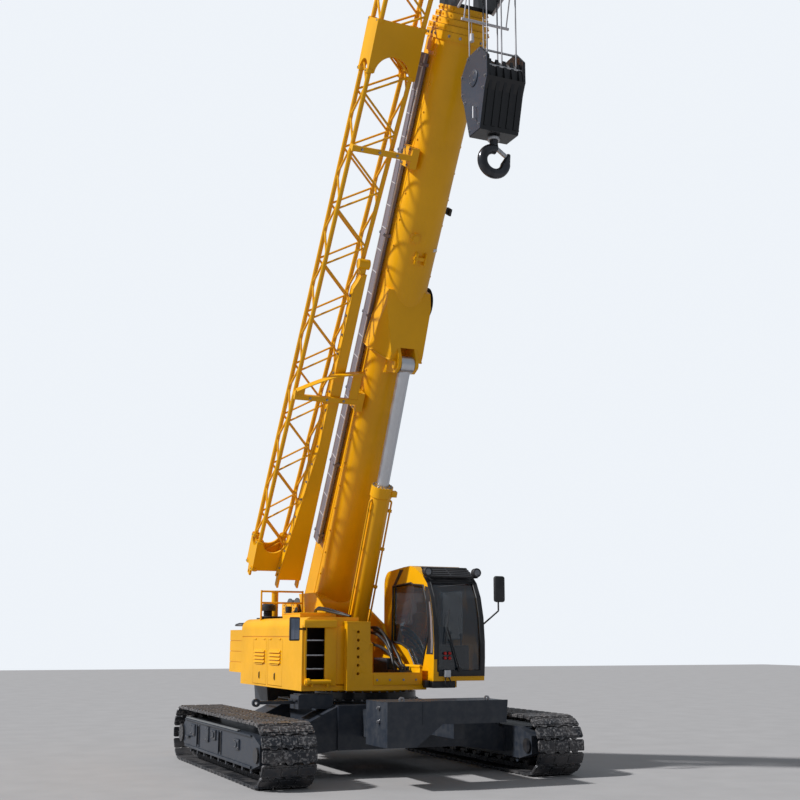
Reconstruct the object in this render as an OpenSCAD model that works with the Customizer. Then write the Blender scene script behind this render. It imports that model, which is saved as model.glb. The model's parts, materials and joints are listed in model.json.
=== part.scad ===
// Telescopic crawler crane, parked on its tracks with the boom raised.
// Millimetres, +Z up. The origin is the slewing axis at ground level.
// The machine faces -Y, and its cab is on the +X side.

/* [Tracks] */
// Distance between the two track centre lines
track_gauge = 4430; // [4000:10:5000]
// Width of a track shoe
shoe_w = 810; // [700:10:900]
// Length of a track, over the shoes
track_len = 5420; // [5000:10:6000]
// Height of a track, over the shoes
track_h = 930; // [880:5:980]
// Thickness of a shoe with its bars
shoe_t = 55; // [45:1:65]
// Number of shoes on a track
shoe_count = 58; // [50:1:62]
// Gap between two shoes
shoe_gap = 22; // [12:1:40]
// Width of the chain that carries the shoes
chain_w = 250; // [200:5:300]
// Depth of the chain, inside the shoes
chain_t = 70; // [60:1:80]
// Width of a track frame over its side plates
frame_w = 700; // [560:10:740]
// Number of lower rollers on a track
roller_count = 9; // [7:1:9]
// Radius of a lower roller
roller_r = 95; // [85:1:100]

/* [Carbody] */
// Width of the centre box between the cross beams
carbody_w = 2100; // [1900:10:2300]
// Length of the centre box
carbody_len = 3000; // [2600:10:3200]
// Lowest plate of the centre box above ground
carbody_z0 = 420; // [380:5:500]
// Top plate of the centre box above ground
carbody_z1 = 1090; // [1060:5:1100]
// Distance of a cross beam's middle from the slewing axis
beam_y = 1150; // [1000:10:1250]
// Length of a cross beam's section along the machine
beam_len = 620; // [500:10:700]
// Radius of the slewing ring
ring_r = 860; // [780:5:940]
// Top of the slewing ring above ground
ring_z1 = 1240; // [1220:1:1245]
// Height of the slewing ring
ring_h = 130; // [110:1:150]
// Radius of the slewing ring's bore
ring_bore = 700; // [600:5:740]
// Width of the end weight of the carbody
weight_w = 1940; // [1700:10:2100]
// Front face of the end weight from the slewing axis
weight_y = 3240; // [3100:10:3300]
// Depth of the end weight
weight_len = 800; // [600:10:900]

/* [Superstructure] */
// Underside of the superstructure above ground
upper_z0 = 1300; // [1285:1:1340]
// Height of the floor between the boom's side plates
floor_t = 60; // [40:1:80]
// Gap between the two side plates
cheek_gap = 830; // [820:2:860]
// Thickness of a side plate
cheek_t = 40; // [30:1:50]
// Boom foot pin, distance behind the slewing axis
foot_y = 1407; // [1390:1:1420]
// Boom foot pin above ground
foot_z = 2696; // [2680:1:2710]
// Radius of the boom foot pin
foot_r = 90; // [70:1:100]
// Outer side of the engine housing from the middle plane
house_x = 1550; // [1500:5:1600]
// Rear face of the engine housing
house_y1 = 2190; // [2100:5:2200]
// Front face of the engine housing
house_y0 = -1180; // [-1250:5:-1100]
// Top of the engine housing above ground
house_z1 = 2440; // [2400:5:2470]
// Thickness of the housing's walls and doors
house_wall = 40; // [30:1:50]
// Counterweight, depth behind the housing
cw_len = 990; // [900:10:1050]
// Counterweight, lowest face above ground
cw_z0 = 1490; // [1450:5:1550]
// Counterweight, top above ground
cw_z1 = 2250; // [2150:5:2300]

/* [Cab] */
// Inner side of the cab from the middle plane
cab_x0 = 550; // [540:2:600]
// Width of the cab
cab_w = 920; // [880:5:1000]
// Front of the cab
cab_y0 = -1580; // [-1620:5:-1550]
// Length of the cab
cab_len = 2060; // [2000:5:2100]
// Floor of the cab above ground
cab_z0 = 1440; // [1420:5:1460]
// Height of the cab
cab_h = 1880; // [1840:5:1920]
// Drop of the roof from its crown to the top of the windscreen
cab_brow = 190; // [150:5:230]
// Radius of the cab's rear top corner
cab_corner_r = 240; // [180:5:300]
// Thickness of the cab's walls and door
cab_wall = 50; // [40:1:60]
// Thickness of the panes
pane_t = 8; // [6:1:12]

/* [Boom] */
// Angle of the boom above the ground, as it stands
boom_angle = 57.8; // [50:0.1:65]
// Length of the base section, from the foot pin forward
base_len = 10200; // [9800:20:10400]
// Half the width of the base section
boom_hw = 390; // [380:1:395]
// Height of the base section
boom_h = 900; // [860:2:920]
// Height of the boom's middle line above the foot pin
boom_lift = 300; // [280:2:320]
// Wall of each section
boom_wall = 20; // [14:1:22]
// Gap between two sections
boom_play = 8; // [6:1:10]
// Distance of the head sheaves' axis beyond the base section, along the boom
head_reach = 980; // [900:10:1050]
// Height of the head sheaves' axis from the foot pin, across the boom
head_n = -320; // [-330:2:-290]
// Radius of the head and hook sheaves, at the rope's middle
sheave_r = 280; // [240:2:290]
// Radius of the hoist rope
rope_r = 11; // [9:0.5:14]
// Play between the rope and the bottom of its groove
rope_play = 0.4; // [0.2:0.1:1]
// Spacing of the rope's sheaves
sheave_pitch = 120; // [110:1:140]
// Number of sheaves in the hook block and in the boom head
sheave_count = 5; // [3:2:5]
// Length of the rope falls between the two rows of sheaves
fall_len = 1800; // [1700:10:2100]

/* [Lift cylinder] */
// Lower pin, distance behind the slewing axis
lift_y = 800; // [790:1:810]
// Lower pin above ground
lift_z = 1550; // [1540:1:1560]
// Rod's eye from the boom foot pin, along the boom
eye_s = 4900; // [4880:2:4940]
// Rod's eye from the boom foot pin, across the boom
eye_n = -520; // [-530:1:-515]
// Length of the barrel above its lower pin
barrel_len = 3450; // [3300:10:3500]
// Radius of the barrel
barrel_r = 170; // [160:1:175]
// Radius of the rod
rod_r = 105; // [95:1:112]
// Radius of the rod's eye
eye_r = 140; // [120:1:145]
// Width of the rod's eye
eye_w = 230; // [220:2:236]

/* [Jib] */
// Outer chords of the stowed jib at its lower end, from the middle plane
jib_x = -1630; // [-1660:5:-1600]
// How far the outer chords come in towards the jib's upper end
jib_lean = 270; // [200:5:300]
// Distance between outer and inner chords at the lower end
jib_w0 = 515; // [480:5:540]
// Distance between outer and inner chords at the upper end
jib_w1 = 725; // [680:5:740]
// Distance between lower and upper chords at the lower end
jib_h0 = 300; // [260:5:340]
// Distance between lower and upper chords at the upper end
jib_h1 = 400; // [360:5:460]
// Height of the jib's lower chords from the foot pin, across the boom
jib_n = 220; // [200:5:260]
// Radius of a lattice chord
chord_r = 38; // [30:1:45]
// Radius of a lattice brace
brace_r = 18; // [14:1:24]
// Number of lattice bays
jib_bays = 11; // [8:1:13]

/* [Hidden] */
$fn = 64;
big = 20000;
// Running gap of a moving piece at its seat
seat_gap = 0.3;
yellow = "gold";
dark = "#2f343b";
steel = "silver";
black = "#16181b";

track_x = track_gauge / 2;
loop_r = track_h / 2;
wheel_y = track_len / 2 - loop_r;
wheel_r = loop_r - shoe_t - chain_t;
loop_z = track_h / 2;
path_r = loop_r - shoe_t / 2;
loop_length = 4 * wheel_y + 2 * PI * path_r;
shoe_pitch = loop_length / shoe_count;
roller_z = shoe_t + chain_t + roller_r;
axle_r = 25;
frame_z0 = roller_z + axle_r + 5;
frame_z1 = track_h - shoe_t - chain_t - 70;

bar_eye_x = -2240;
bar_eye_r = 28;

boom_n0 = boom_lift - boom_h / 2;
boom_n1 = boom_lift + boom_h / 2;
section_step = boom_wall + boom_play;
section_count = 5;
collar_len = 90;
stop_gap = 6;
collar_pitch = collar_len + stop_gap;
tele_tail = 260;
duct_gap = 34;
lift_lug_t = 50;
lift_play = 8;
lug_t = 55;
lug_gap = eye_w + 20;
eye_y = foot_y - eye_s * cos(boom_angle) + eye_n * sin(boom_angle);
eye_z = foot_z + eye_s * sin(boom_angle) + eye_n * cos(boom_angle);
lift_angle = atan2(eye_z - lift_z, lift_y - eye_y);
lift_len = norm([lift_y - eye_y, eye_z - lift_z]);
head_s = base_len + head_reach;
head_y = foot_y - head_s * cos(boom_angle) + head_n * sin(boom_angle);
head_z = foot_z + head_s * sin(boom_angle) + head_n * cos(boom_angle);
block_z = head_z - fall_len;
block_half = 415;
block_z0 = -860;
hook_shank_r = 62;
hook_bowl_r = 190;
hook_t = 74;
hook_drop = 1245;
jib_s0 = 640;
jib_s1 = base_len + 700;
jib_pin_s = jib_s0 - 170;
beam_depth = 150;
beam_s1 = eye_s + 1300;
jib_pin_r = 30.05;
jib_lug_t = 36;
jib_skin = 14;
jib_lug_x0 = -1650;
jib_lug_x1 = -1080;
brace_step = 130;
bracket_s = [eye_s - 950, base_len - 2050];
bracket_t = 90;
cheek_x = cheek_gap / 2;
ear_x = 1150;
ear_y = house_y1 + cw_len / 2;
ear_z = cw_z1 + 80;
ear_t = 60;
ear_bore_r = 35;
house_x0 = 600;
door_w = 780;
door_h = 760;
door_z1 = 2090;
door_gap = 8;
hinge_gap = 0.3;
hinge_r = 14;
hinge_len = 80;
hinge_play = 1;
door_y = [1050, 190];
cab_x1 = cab_x0 + cab_w;
cab_y1 = cab_y0 + cab_len;
cab_z1 = cab_z0 + cab_h;
cab_door_y0 = -980;
cab_door_y1 = 120;
cab_door_z0 = cab_z0 + 130;
cab_door_z1 = cab_z1 - 300;
// Top of the windscreen and crown of the roof, behind the cab's front
cab_brow_y = 420;
cab_crown_y = 940;
winch_y = [2480, 2900];
winch_z = 2660;

// Placing

// Along the boom: z runs up the boom, y across it towards its back, x sideways
module on_boom() {
  translate([0, foot_y, foot_z]) rotate([90 - boom_angle, 0, 0]) children();
}

// Along the lift cylinder: z runs from its lower pin to the rod's eye
module on_lift() {
  translate([0, lift_y, lift_z]) rotate([90 - lift_angle, 0, 0]) children();
}

// A bar with its length along x, centred on x
module bar_x(r, len) {
  rotate([0, 90, 0]) cylinder(r = r, h = len, center = true);
}

// A profile given as [y, z] points, as a plate standing across x
module plate_x(t, points) {
  rotate([90, 0, 90]) linear_extrude(t, center = true) polygon(points);
}

// A box between two corners
module box(a, b) {
  translate(a) cube(b - a);
}

// A round strut from a to b
module strut(a, b, r, sides = 6) {
  d = b - a;
  translate(a) rotate([0, acos(d[2] / norm(d)), atan2(d[1], d[0])]) cylinder(r = r, h = norm(d), $fn = sides);
}

// Undercarriage

// Mirrors a thing to both sides of the machine
module both_sides() {
  for (side = [-1, 1]) translate([side * track_x, 0, 0]) children();
}

// The track's middle line at distance d, as [y, z, angle of the shoe]
function loop_point(d) =
  let(straight = 2 * wheel_y, bend = PI * path_r)
  d < straight ? [wheel_y - d, loop_z + path_r, 0]
  : d < straight + bend ?
    let(a = (d - straight) / path_r * 180 / PI) [-wheel_y - path_r * sin(a), loop_z + path_r * cos(a), a]
  : d < 2 * straight + bend ? [-wheel_y + (d - straight - bend), loop_z - path_r, 180]
  : let(a = (d - 2 * straight - bend) / path_r * 180 / PI) [wheel_y + path_r * sin(a), loop_z - path_r * cos(a), 180 + a];

// A stadium outline round both end wheels
module stadium(r) {
  union() {
    for (end = [-1, 1]) translate([end * wheel_y, loop_z]) circle(r, $fn = 96);
    translate([-wheel_y, loop_z - r]) square([2 * wheel_y, 2 * r]);
  }
}

// One shoe seen from the side: a plate with a low bar in its middle
module shoe_outline() {
  half = (shoe_pitch - shoe_gap) / 2;
  polygon([
    [-half, -shoe_t / 2], [half, -shoe_t / 2], [half, shoe_t * 0.2],
    [half * 0.45, shoe_t / 2], [-half * 0.45, shoe_t / 2], [-half, shoe_t * 0.2]
  ]);
}

module shoe_ring() {
  for (i = [0:shoe_count - 1]) {
    p = loop_point((i + 0.5) * shoe_pitch);
    translate([p[0], p[1]]) rotate(p[2]) shoe_outline();
  }
}

module track(side) {
  color(dark) translate([side * track_x, 0, 0]) union() {
    rotate([90, 0, 90]) linear_extrude(shoe_w, center = true) shoe_ring();
    rotate([90, 0, 90]) linear_extrude(chain_w, center = true) difference() {
      stadium(loop_r - shoe_t + 4);
      stadium(wheel_r);
    }
  }
}

// Side view of the track frame: a box girder that narrows to both ends
module frame_outline(inset) {
  z0 = frame_z0 + inset;
  z1 = frame_z1 - inset;
  y1 = wheel_y - 260;
  polygon([
    [-wheel_y - 120, z0 + 90], [-y1, z0], [y1, z0], [wheel_y - 60, z0 + 90],
    [wheel_y - 60, z1 - 120], [y1, z1], [-y1, z1], [-wheel_y - 120, z1 - 120]
  ]);
}

module track_frame(side) {
  // Openings in the outer plate: [middle y, width]
  openings = [[-250, 150], [1130, 150]];
  color(dark) translate([side * track_x, 0, 0]) difference() {
    rotate([90, 0, 90]) linear_extrude(frame_w, center = true) frame_outline(0);
    for (o = openings)
      translate([side * frame_w / 2, o[0], (frame_z0 + frame_z1) / 2])
        cube([240, o[1], (frame_z1 - frame_z0) * 0.62], center = true);
    // Room for the idler and the sprocket with their hubs
    for (end = [-1, 1])
      translate([0, end * wheel_y, loop_z]) rotate([0, 90, 0])
        cylinder(r = wheel_r + 12, h = chain_w + 60, center = true);
    // Channel for the lower rollers
    box([-chain_w / 2 - 50, -big, frame_z0 - 1], [chain_w / 2 + 50, big, roller_z + roller_r + 15]);
    // Bores of the two end shafts
    for (end = [-1, 1])
      translate([0, end * wheel_y, loop_z]) bar_x(60, frame_w + 40);
  }
}

module track_rollers(side) {
  color(black) translate([side * track_x, 0, 0]) {
    for (i = [0:roller_count - 1]) {
      y = -wheel_y + 420 + i * (2 * wheel_y - 900) / (roller_count - 1);
      translate([0, y, roller_z]) rotate([0, 90, 0]) union() {
        cylinder(r = roller_r, h = chain_w + 60, center = true, $fn = 32);
        cylinder(r = axle_r, h = frame_w - 120, center = true, $fn = 32);
      }
      // Bearing blocks that hang the roller under the frame
      for (s = [-1, 1])
        translate([s * (frame_w / 2 - 90), y, (roller_z - axle_r + frame_z0) / 2])
          cube([60, 110, frame_z0 - roller_z + axle_r], center = true);
    }
  }
}

module sprockets() {
  teeth = 12;
  color(black) both_sides() translate([0, wheel_y, loop_z]) rotate([0, 90, 0]) union() {
    cylinder(r = wheel_r - 34, h = 90, center = true);
    for (i = [0:teeth - 1]) rotate(i * 360 / teeth)
      translate([wheel_r - 40, -32, -45]) cube([38, 64, 90]);
    cylinder(r = 220, h = chain_w + 30, center = true);
    cylinder(r = 59.95, h = frame_w + 30, center = true);
    translate([0, 0, -frame_w / 2 - 30]) cylinder(r = 150, h = 28);
    translate([0, 0, frame_w / 2 + 2]) cylinder(r = 150, h = 28);
  }
}

module idlers() {
  color(black) both_sides() translate([0, -wheel_y, loop_z]) rotate([0, 90, 0]) union() {
    cylinder(r = wheel_r - 2, h = 110, center = true);
    cylinder(r = 190, h = chain_w + 30, center = true);
    cylinder(r = 59.95, h = frame_w + 30, center = true);
    translate([0, 0, -frame_w / 2 - 30]) cylinder(r = 110, h = 28);
    translate([0, 0, frame_w / 2 + 2]) cylinder(r = 110, h = 28);
  }
}

module carbody() {
  beam_x = track_x - frame_w / 2;
  color(dark) union() {
    difference() {
      box([-carbody_w / 2, -carbody_len / 2, carbody_z0], [carbody_w / 2, carbody_len / 2, carbody_z1]);
      // Swivel bore through the centre
      translate([0, 0, carbody_z0 - 1]) cylinder(r = 260, h = big);
    }
    // Cross beams, tapering down towards the tracks
    for (end = [-1, 1], side = [-1, 1])
      translate([0, end * beam_y, 0]) rotate([90, 0, 0]) linear_extrude(beam_len, center = true)
        polygon([
          [side * carbody_w / 2, carbody_z0], [side * carbody_w / 2, carbody_z1 - 20],
          [side * beam_x, frame_z1 - 60], [side * beam_x, frame_z0 + 60]
        ]);
    // Seat of the slewing ring
    difference() {
      translate([0, 0, carbody_z1 - 1]) cylinder(r = ring_r + 60, h = ring_z1 - ring_h - carbody_z1 + 1);
      translate([0, 0, carbody_z1 - 10]) cylinder(r = 560, h = big);
    }
    // Arms that carry the end weights
    for (end = [-1, 1], side = [-1, 1])
      box([side * 560 - 90, end > 0 ? carbody_len / 2 : -(weight_y - weight_len), 620],
          [side * 560 + 90, end > 0 ? weight_y - weight_len : -carbody_len / 2, carbody_z1 - 60]);
    // Valve box at the front right corner, with the locking bar over the track
    box([-1620, -1260, carbody_z1 - 60], [-carbody_w / 2, -860, carbody_z1 + 150]);
    box([bar_eye_x + 45, -1085, carbody_z1 + 15], [-1600, -1035, carbody_z1 + 65]);
    translate([bar_eye_x, -1060, carbody_z1 + 40]) difference() {
      rotate([90, 0, 0]) cylinder(r = 62, h = 60, center = true);
      rotate([90, 0, 0]) cylinder(r = bar_eye_r, h = 62, center = true);
    }
  }
}

// End weight of the carbody: a beam with one deeper end and a slot for its hook
module end_weight() {
  half = weight_w / 2;
  z1 = 1220;
  difference() {
    rotate([90, 0, 0]) linear_extrude(weight_len)
      polygon([
        [-half, z1], [half, z1], [half - 30, 900], [-100, 900],
        [-520, 590], [-half, 590]
      ]);
    translate([-560, -1, 720]) rotate([90, 0, 0]) linear_extrude(weight_len - 300)
      polygon([[-150, -20], [-150, 260], [-90, 260], [-90, 80], [330, 180], [-60, -20]]);
  }
}

module carbody_weights() {
  color(dark) {
    translate([0, -weight_y + weight_len, 0]) end_weight();
    rotate(180) translate([0, -weight_y + weight_len, 0]) end_weight();
  }
}

module slew_ring() {
  color(black) difference() {
    translate([0, 0, ring_z1 - ring_h]) cylinder(r = ring_r, h = ring_h);
    translate([0, 0, ring_z1 - ring_h - 1]) cylinder(r = ring_bore, h = big);
  }
}

// Superstructure

// Side plate of the boom foot, as [y, z] points
module cheek_profile() {
  polygon([
    [-1330, upper_z0], [house_y1, upper_z0], [house_y1, 1900], [foot_y + 330, foot_z - 60],
    [foot_y + 170, foot_z + 210], [foot_y - 130, foot_z + 210], [foot_y - 420, foot_z - 60],
    [300, 2340], [-900, 2250], [-1330, 2000]
  ]);
}

module turntable() {
  rib_x = cheek_x + cheek_t;
  color(yellow) union() {
    difference() {
      union() {
        // Floor plate and the inner race of the slewing ring
        box([-house_x0, -1330, upper_z0], [cab_x0 - 20, 2150, upper_z0 + floor_t]);
        translate([0, 0, ring_z1 - 80]) cylinder(r = ring_bore - seat_gap, h = upper_z0 - ring_z1 + 80);
        for (side = [-1, 1])
          translate([side * (cheek_x + cheek_t / 2), 0, 0])
            rotate([90, 0, 90]) linear_extrude(cheek_t, center = true) cheek_profile();
        // Bosses of the boom foot pin
        for (side = [-1, 1])
          translate([side * (rib_x + 15), foot_y, foot_z]) bar_x(170, 60);
        // Lugs of the lift cylinder
        for (side = [-1, 1])
          translate([side * (barrel_r + lift_play + lift_lug_t / 2), 0, 0]) plate_x(lift_lug_t, [
            [lift_y - 330, upper_z0 + 30], [lift_y + 330, upper_z0 + 30],
            [lift_y + 150, lift_z + 120], [lift_y - 150, lift_z + 120]
          ]);
        // Front cross box, and posts on both sides of it
        box([-cheek_x, -1330, upper_z0], [cheek_x, -1120, upper_z0 + 270]);
        box([-house_x0 - 250, -1330, upper_z0], [-cheek_x - cheek_t + 1, -1200, 2360]);
        // Outriggers of the deck to both sides, behind and under the cab
        box([-house_x, -1180, upper_z0], [-house_x0, -1040, upper_z0 + 100]);
        box([-house_x, 1700, upper_z0], [-house_x0, 2150, upper_z0 + 60]);
        box([cab_x0 - 20, -700, upper_z0], [cab_x1 - 80, 2150, cab_z0]);
      }
      // Column of holes in the front post
      for (i = [0:5])
        translate([-house_x0 - 60, -1400, 1560 + i * 130]) rotate([-90, 0, 0]) cylinder(r = 24, h = 300, $fn = 24);
      translate([0, 0, ring_z1 - 100]) cylinder(r = 300, h = 400);
    }
    translate([0, foot_y, foot_z]) bar_x(foot_r, 2 * (rib_x + 60));
    translate([0, lift_y, lift_z]) bar_x(60, 2 * (barrel_r + lift_play + lift_lug_t + 25));
  }
}

// Section of the housing: [x, z] from the inner side to the outer side, with a rounded outer shoulder
module house_section(inset, z0) {
  r = 170;
  x0 = -house_x + inset;
  z1 = house_z1 - inset;
  polygon(concat(
    [[-house_x0 - inset, z0], [-house_x0 - inset, z1]],
    [for (i = [0:8]) let(a = 90 + i * 90 / 8) [x0 + r + r * cos(a), z1 - r + r * sin(a)]],
    [[x0, z0]]
  ));
}

module engine_housing() {
  color(yellow) difference() {
    union() {
      translate([0, house_y1, 0]) rotate([90, 0, 0]) linear_extrude(house_y1 - house_y0) house_section(0, upper_z0);
      // Raised cover in the middle of the roof
      box([-house_x + 260, -300, house_z1 - 40], [-house_x0 - 60, 620, house_z1 + 70]);
    }
    // Hollow engine bay
    translate([0, house_y1 - house_wall, 0]) rotate([90, 0, 0])
      linear_extrude(house_y1 - house_y0 - 2 * house_wall - 470) house_section(house_wall, upper_z0 + house_wall);
    // Recess of the steps in the front corner
    box([-house_x + 60, house_y0 - 1, upper_z0 + 110], [-house_x0 - 250, house_y0 + 430, house_z1 - 150]);
    // Door openings
    for (y = door_y)
      translate([-house_x, y, door_z1 - door_h / 2])
        cube([300, door_w, door_h], center = true);
    for (y = door_y) engine_hinge(y, hinge_play);
    // Groove over the doors
    box([-house_x - 1, house_y0 + 520, door_z1 + 30], [-house_x + 12, house_y1 - 60, door_z1 + 46]);
    // Clearance for the deck's front and rear bearers
    box([-house_x - 1, house_y0 - 1, upper_z0 - 1], [-house_x0 + 1, house_y0 + 142, upper_z0 + 101]);
    box([-house_x - 1, 1699, upper_z0 - 1], [-house_x0 + 1, 2151, upper_z0 + 61]);
  }
}

// The two knuckles of an engine door's hinge, on its top edge
module engine_hinge(y, play) {
  for (side = [-1, 1])
    translate([-house_x, y + side * (door_w / 2 - 130), door_z1 - hinge_gap]) rotate([90, 0, 0])
      cylinder(r = hinge_r + play, h = hinge_len + 2 * play, center = true, $fn = 32);
}

// A door of the engine bay, hinged at its top edge, with four louvres and a latch
module engine_door(y) {
  color(yellow) difference() {
    union() {
      box([-house_x, y - door_w / 2 + door_gap, door_z1 - door_h + door_gap],
          [-house_x + house_wall, y + door_w / 2 - door_gap, door_z1 - hinge_gap]);
      for (i = [0:3])
        translate([-house_x, y, door_z1 - 190 - i * 75]) rotate([90, 0, 0])
          cylinder(r = 16, h = 420, center = true, $fn = 24);
      engine_hinge(y, 0);
    }
    // Latch recess
    translate([-house_x - 1, y - 12, door_z1 - door_h + 90]) cube([9, 24, 120]);
  }
}

module engine_block() {
  color(dark) box([-house_x + 260, -300, upper_z0 + house_wall], [-house_x0 - 120, 1500, 2150]);
}

module steps() {
  x0 = -house_x + 60;
  x1 = -house_x0 - 250;
  color(black) union() {
    for (i = [0:3])
      box([x0, house_y0 + 40, upper_z0 + 200 + i * 230], [x1, house_y0 + 429, upper_z0 + 228 + i * 230]);
    box([x0, house_y0 + 400, upper_z0 + 111], [x1, house_y0 + 429, house_z1 - 151]);
  }
}

module left_tank() {
  color(yellow) difference() {
    box([cheek_x + cheek_t + 30, cab_y1 + 60, cab_z0], [cab_x1, 2150, 2160]);
    box([cheek_x + cheek_t + 120, cab_y1 + 160, 2140], [cab_x1 - 90, 2050, 2161]);
  }
}

// Plan of the counterweight, its corners cut off towards the rear
module counterweight_plan(inset) {
  x = house_x - inset;
  y = house_y1 + cw_len - inset;
  polygon([[-x, house_y1], [x, house_y1], [x, y - 220], [x - 260, y], [-x + 260, y], [-x, y - 220]]);
}

module counterweight() {
  slab_count = 4;
  slab_h = (cw_z1 - cw_z0) / slab_count;
  seam = 10;
  ear_r = 75;
  color(yellow) difference() {
    union() {
      for (i = [0:slab_count - 1])
        translate([0, 0, cw_z0 + i * slab_h]) linear_extrude(slab_h - (i < slab_count - 1 ? seam : 0))
          counterweight_plan(0);
      translate([0, 0, cw_z0]) linear_extrude(cw_z1 - cw_z0) counterweight_plan(seam);
      for (side = [-1, 1]) translate([side * ear_x, ear_y, 0]) {
        translate([0, 0, ear_z]) bar_x(ear_r, ear_t);
        box([-ear_t / 2, -ear_r, cw_z1 - 1], [ear_t / 2, ear_r, ear_z]);
      }
    }
    translate([0, ear_y, ear_z]) bar_x(ear_bore_r, 2 * ear_x + 2 * ear_t);
  }
}

module intake_exhaust() {
  color(black) union() {
    // Air intake with its rain cap
    translate([-1180, 1820, house_z1]) cylinder(r = 75, h = 180, $fn = 32);
    translate([-1180, 1820, house_z1 + 150]) cylinder(r = 130, h = 90, $fn = 48);
    // Exhaust pipe
    translate([-760, 1900, house_z1]) cylinder(r = 55, h = 230, $fn = 32);
    // Base plate under both
    box([-1330, 1640, house_z1], [-660, 2020, house_z1 + 24]);
  }
}

module mirrors() {
  color(black) {
    // Mirror on the front corner of the housing
    union() {
      box([-house_x + 20, house_y0 - 150, 2080], [-house_x + 70, house_y0 - 20, 2420]);
      translate([-house_x + 60, house_y0 - 40, 2250]) cube([30, 90, 30], center = false);
    }
    // Mirror on a bent arm at the cab's front corner
    union() {
      box([cab_x1, cab_y0 + 130, 2250], [cab_x1 + 14, cab_y0 + 210, 2350]);
      strut([cab_x1 + 10, cab_y0 + 170, 2300], [cab_x1 + 230, cab_y0 - 60, 2560], 13);
      strut([cab_x1 + 230, cab_y0 - 60, 2550], [cab_x1 + 230, cab_y0 - 60, 2800], 13);
      box([cab_x1 + 140, cab_y0 - 110, 2790], [cab_x1 + 320, cab_y0 - 50, 3120]);
    }
  }
}

module winch_frame() {
  color(yellow) union() {
    for (side = [-1, 1])
      translate([side * 470, 0, 0]) plate_x(40, [
        [house_y1 + 60, cw_z1], [house_y1 + cw_len - 60, cw_z1], [house_y1 + cw_len - 60, winch_z + 90],
        [house_y1 + 60, winch_z + 90]
      ]);
    box([-470, house_y1 + 60, cw_z1], [470, house_y1 + cw_len - 60, cw_z1 + 40]);
    for (y = winch_y) translate([0, y, winch_z]) bar_x(50, 980);
  }
}

module winch_drum(y) {
  color(steel) translate([0, y, winch_z]) rotate([0, 90, 0]) difference() {
    union() {
      cylinder(r = 150, h = 780, center = true);
      for (side = [-1, 1]) translate([0, 0, side * 400]) cylinder(r = 195, h = 24, center = true);
    }
    cylinder(r = 50.05, h = 900, center = true);
  }
}

// Cab

// Side view of the cab as [y, z] points: a round rear corner, a domed roof and a bowed windscreen
module cab_profile(inset) {
  y1 = cab_y1 - inset;
  z0 = cab_z0 + inset;
  r = cab_corner_r - inset;
  rear_z = cab_z1 - 50 - inset;
  // Windscreen: depth behind the cab's front, by height above its floor
  front = [[30, inset], [4, 340], [0, 620], [40, 1010], [130, 1330], [270, 1570], [cab_brow_y, cab_h - cab_brow - inset]];
  polygon(concat(
    [[y1, z0]],
    [for (i = [0:8]) let(a = i * 90 / 8) [y1 - r + r * cos(a), rear_z - r + r * sin(a)]],
    [[cab_y0 + cab_crown_y + 260, cab_z1 - 8 - inset], [cab_y0 + cab_crown_y, cab_z1 - inset],
     [cab_y0 + cab_crown_y - 200, cab_z1 - 45 - inset]],
    [for (i = [len(front) - 1:-1:0]) [cab_y0 + front[i][0] + inset, cab_z0 + front[i][1]]]
  ));
}

// Window in the side that faces the boom, as [y, z] points: its tail runs down to the floor
module cab_side_opening() {
  polygon([
    [cab_y0 + 1690, cab_z0 + 610], [cab_y0 + 1660, cab_z0 + 1560], [cab_y0 + 900, cab_z0 + 1590],
    [cab_y0 + 810, cab_z0 + 1560], [cab_y0 + 400, cab_z0 + 1530], [cab_y0 + 290, cab_z0 + 1300],
    [cab_y0 + 220, cab_z0 + 1010], [cab_y0 + 215, cab_z0 + 700], [cab_y0 + 360, cab_z0 + 430],
    [cab_y0 + 460, cab_z0 + 200], [cab_y0 + 700, cab_z0 + 190], [cab_y0 + 830, cab_z0 + 330],
    [cab_y0 + 1000, cab_z0 + 490], [cab_y0 + 1300, cab_z0 + 580]
  ]);
}

// Space of the windscreen and of the roof window over it, cut through the shell
module cab_screen_space() {
  box([cab_x0 + 70, cab_y0 - 10, cab_z0 + 150], [cab_x1 - 70, cab_y0 + cab_brow_y - 20, cab_z0 + cab_h - cab_brow - 60]);
}

module cab_roof_space() {
  box([cab_x0 + 160, cab_y0 + cab_brow_y + 120, cab_z1 - 160], [cab_x1 - 160, cab_y0 + cab_crown_y - 60, cab_z1 + 10]);
}

module cab_shell() {
  color(yellow) difference() {
    translate([cab_x0, 0, 0]) rotate([90, 0, 90]) linear_extrude(cab_w) cab_profile(0);
    translate([cab_x0 + cab_wall, 0, 0]) rotate([90, 0, 90]) linear_extrude(cab_w - 2 * cab_wall) cab_profile(cab_wall);
    // Windscreen
    cab_screen_space();
    // Side window towards the boom
    translate([cab_x0 - 1, 0, 0]) rotate([90, 0, 90]) linear_extrude(cab_wall + 2) cab_side_opening();
    // Door opening on the outer side
    box([cab_x1 - cab_wall - 1, cab_door_y0, cab_door_z0], [cab_x1 + 1, cab_door_y1, cab_door_z1]);
    cab_hinge(hinge_play);
    // Rear window
    box([cab_x0 + 150, cab_y1 - cab_wall - 1, cab_z0 + 900], [cab_x1 - 150, cab_y1 + 1, cab_z1 - 400]);
    // Roof window behind the brow
    cab_roof_space();
  }
}

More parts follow.
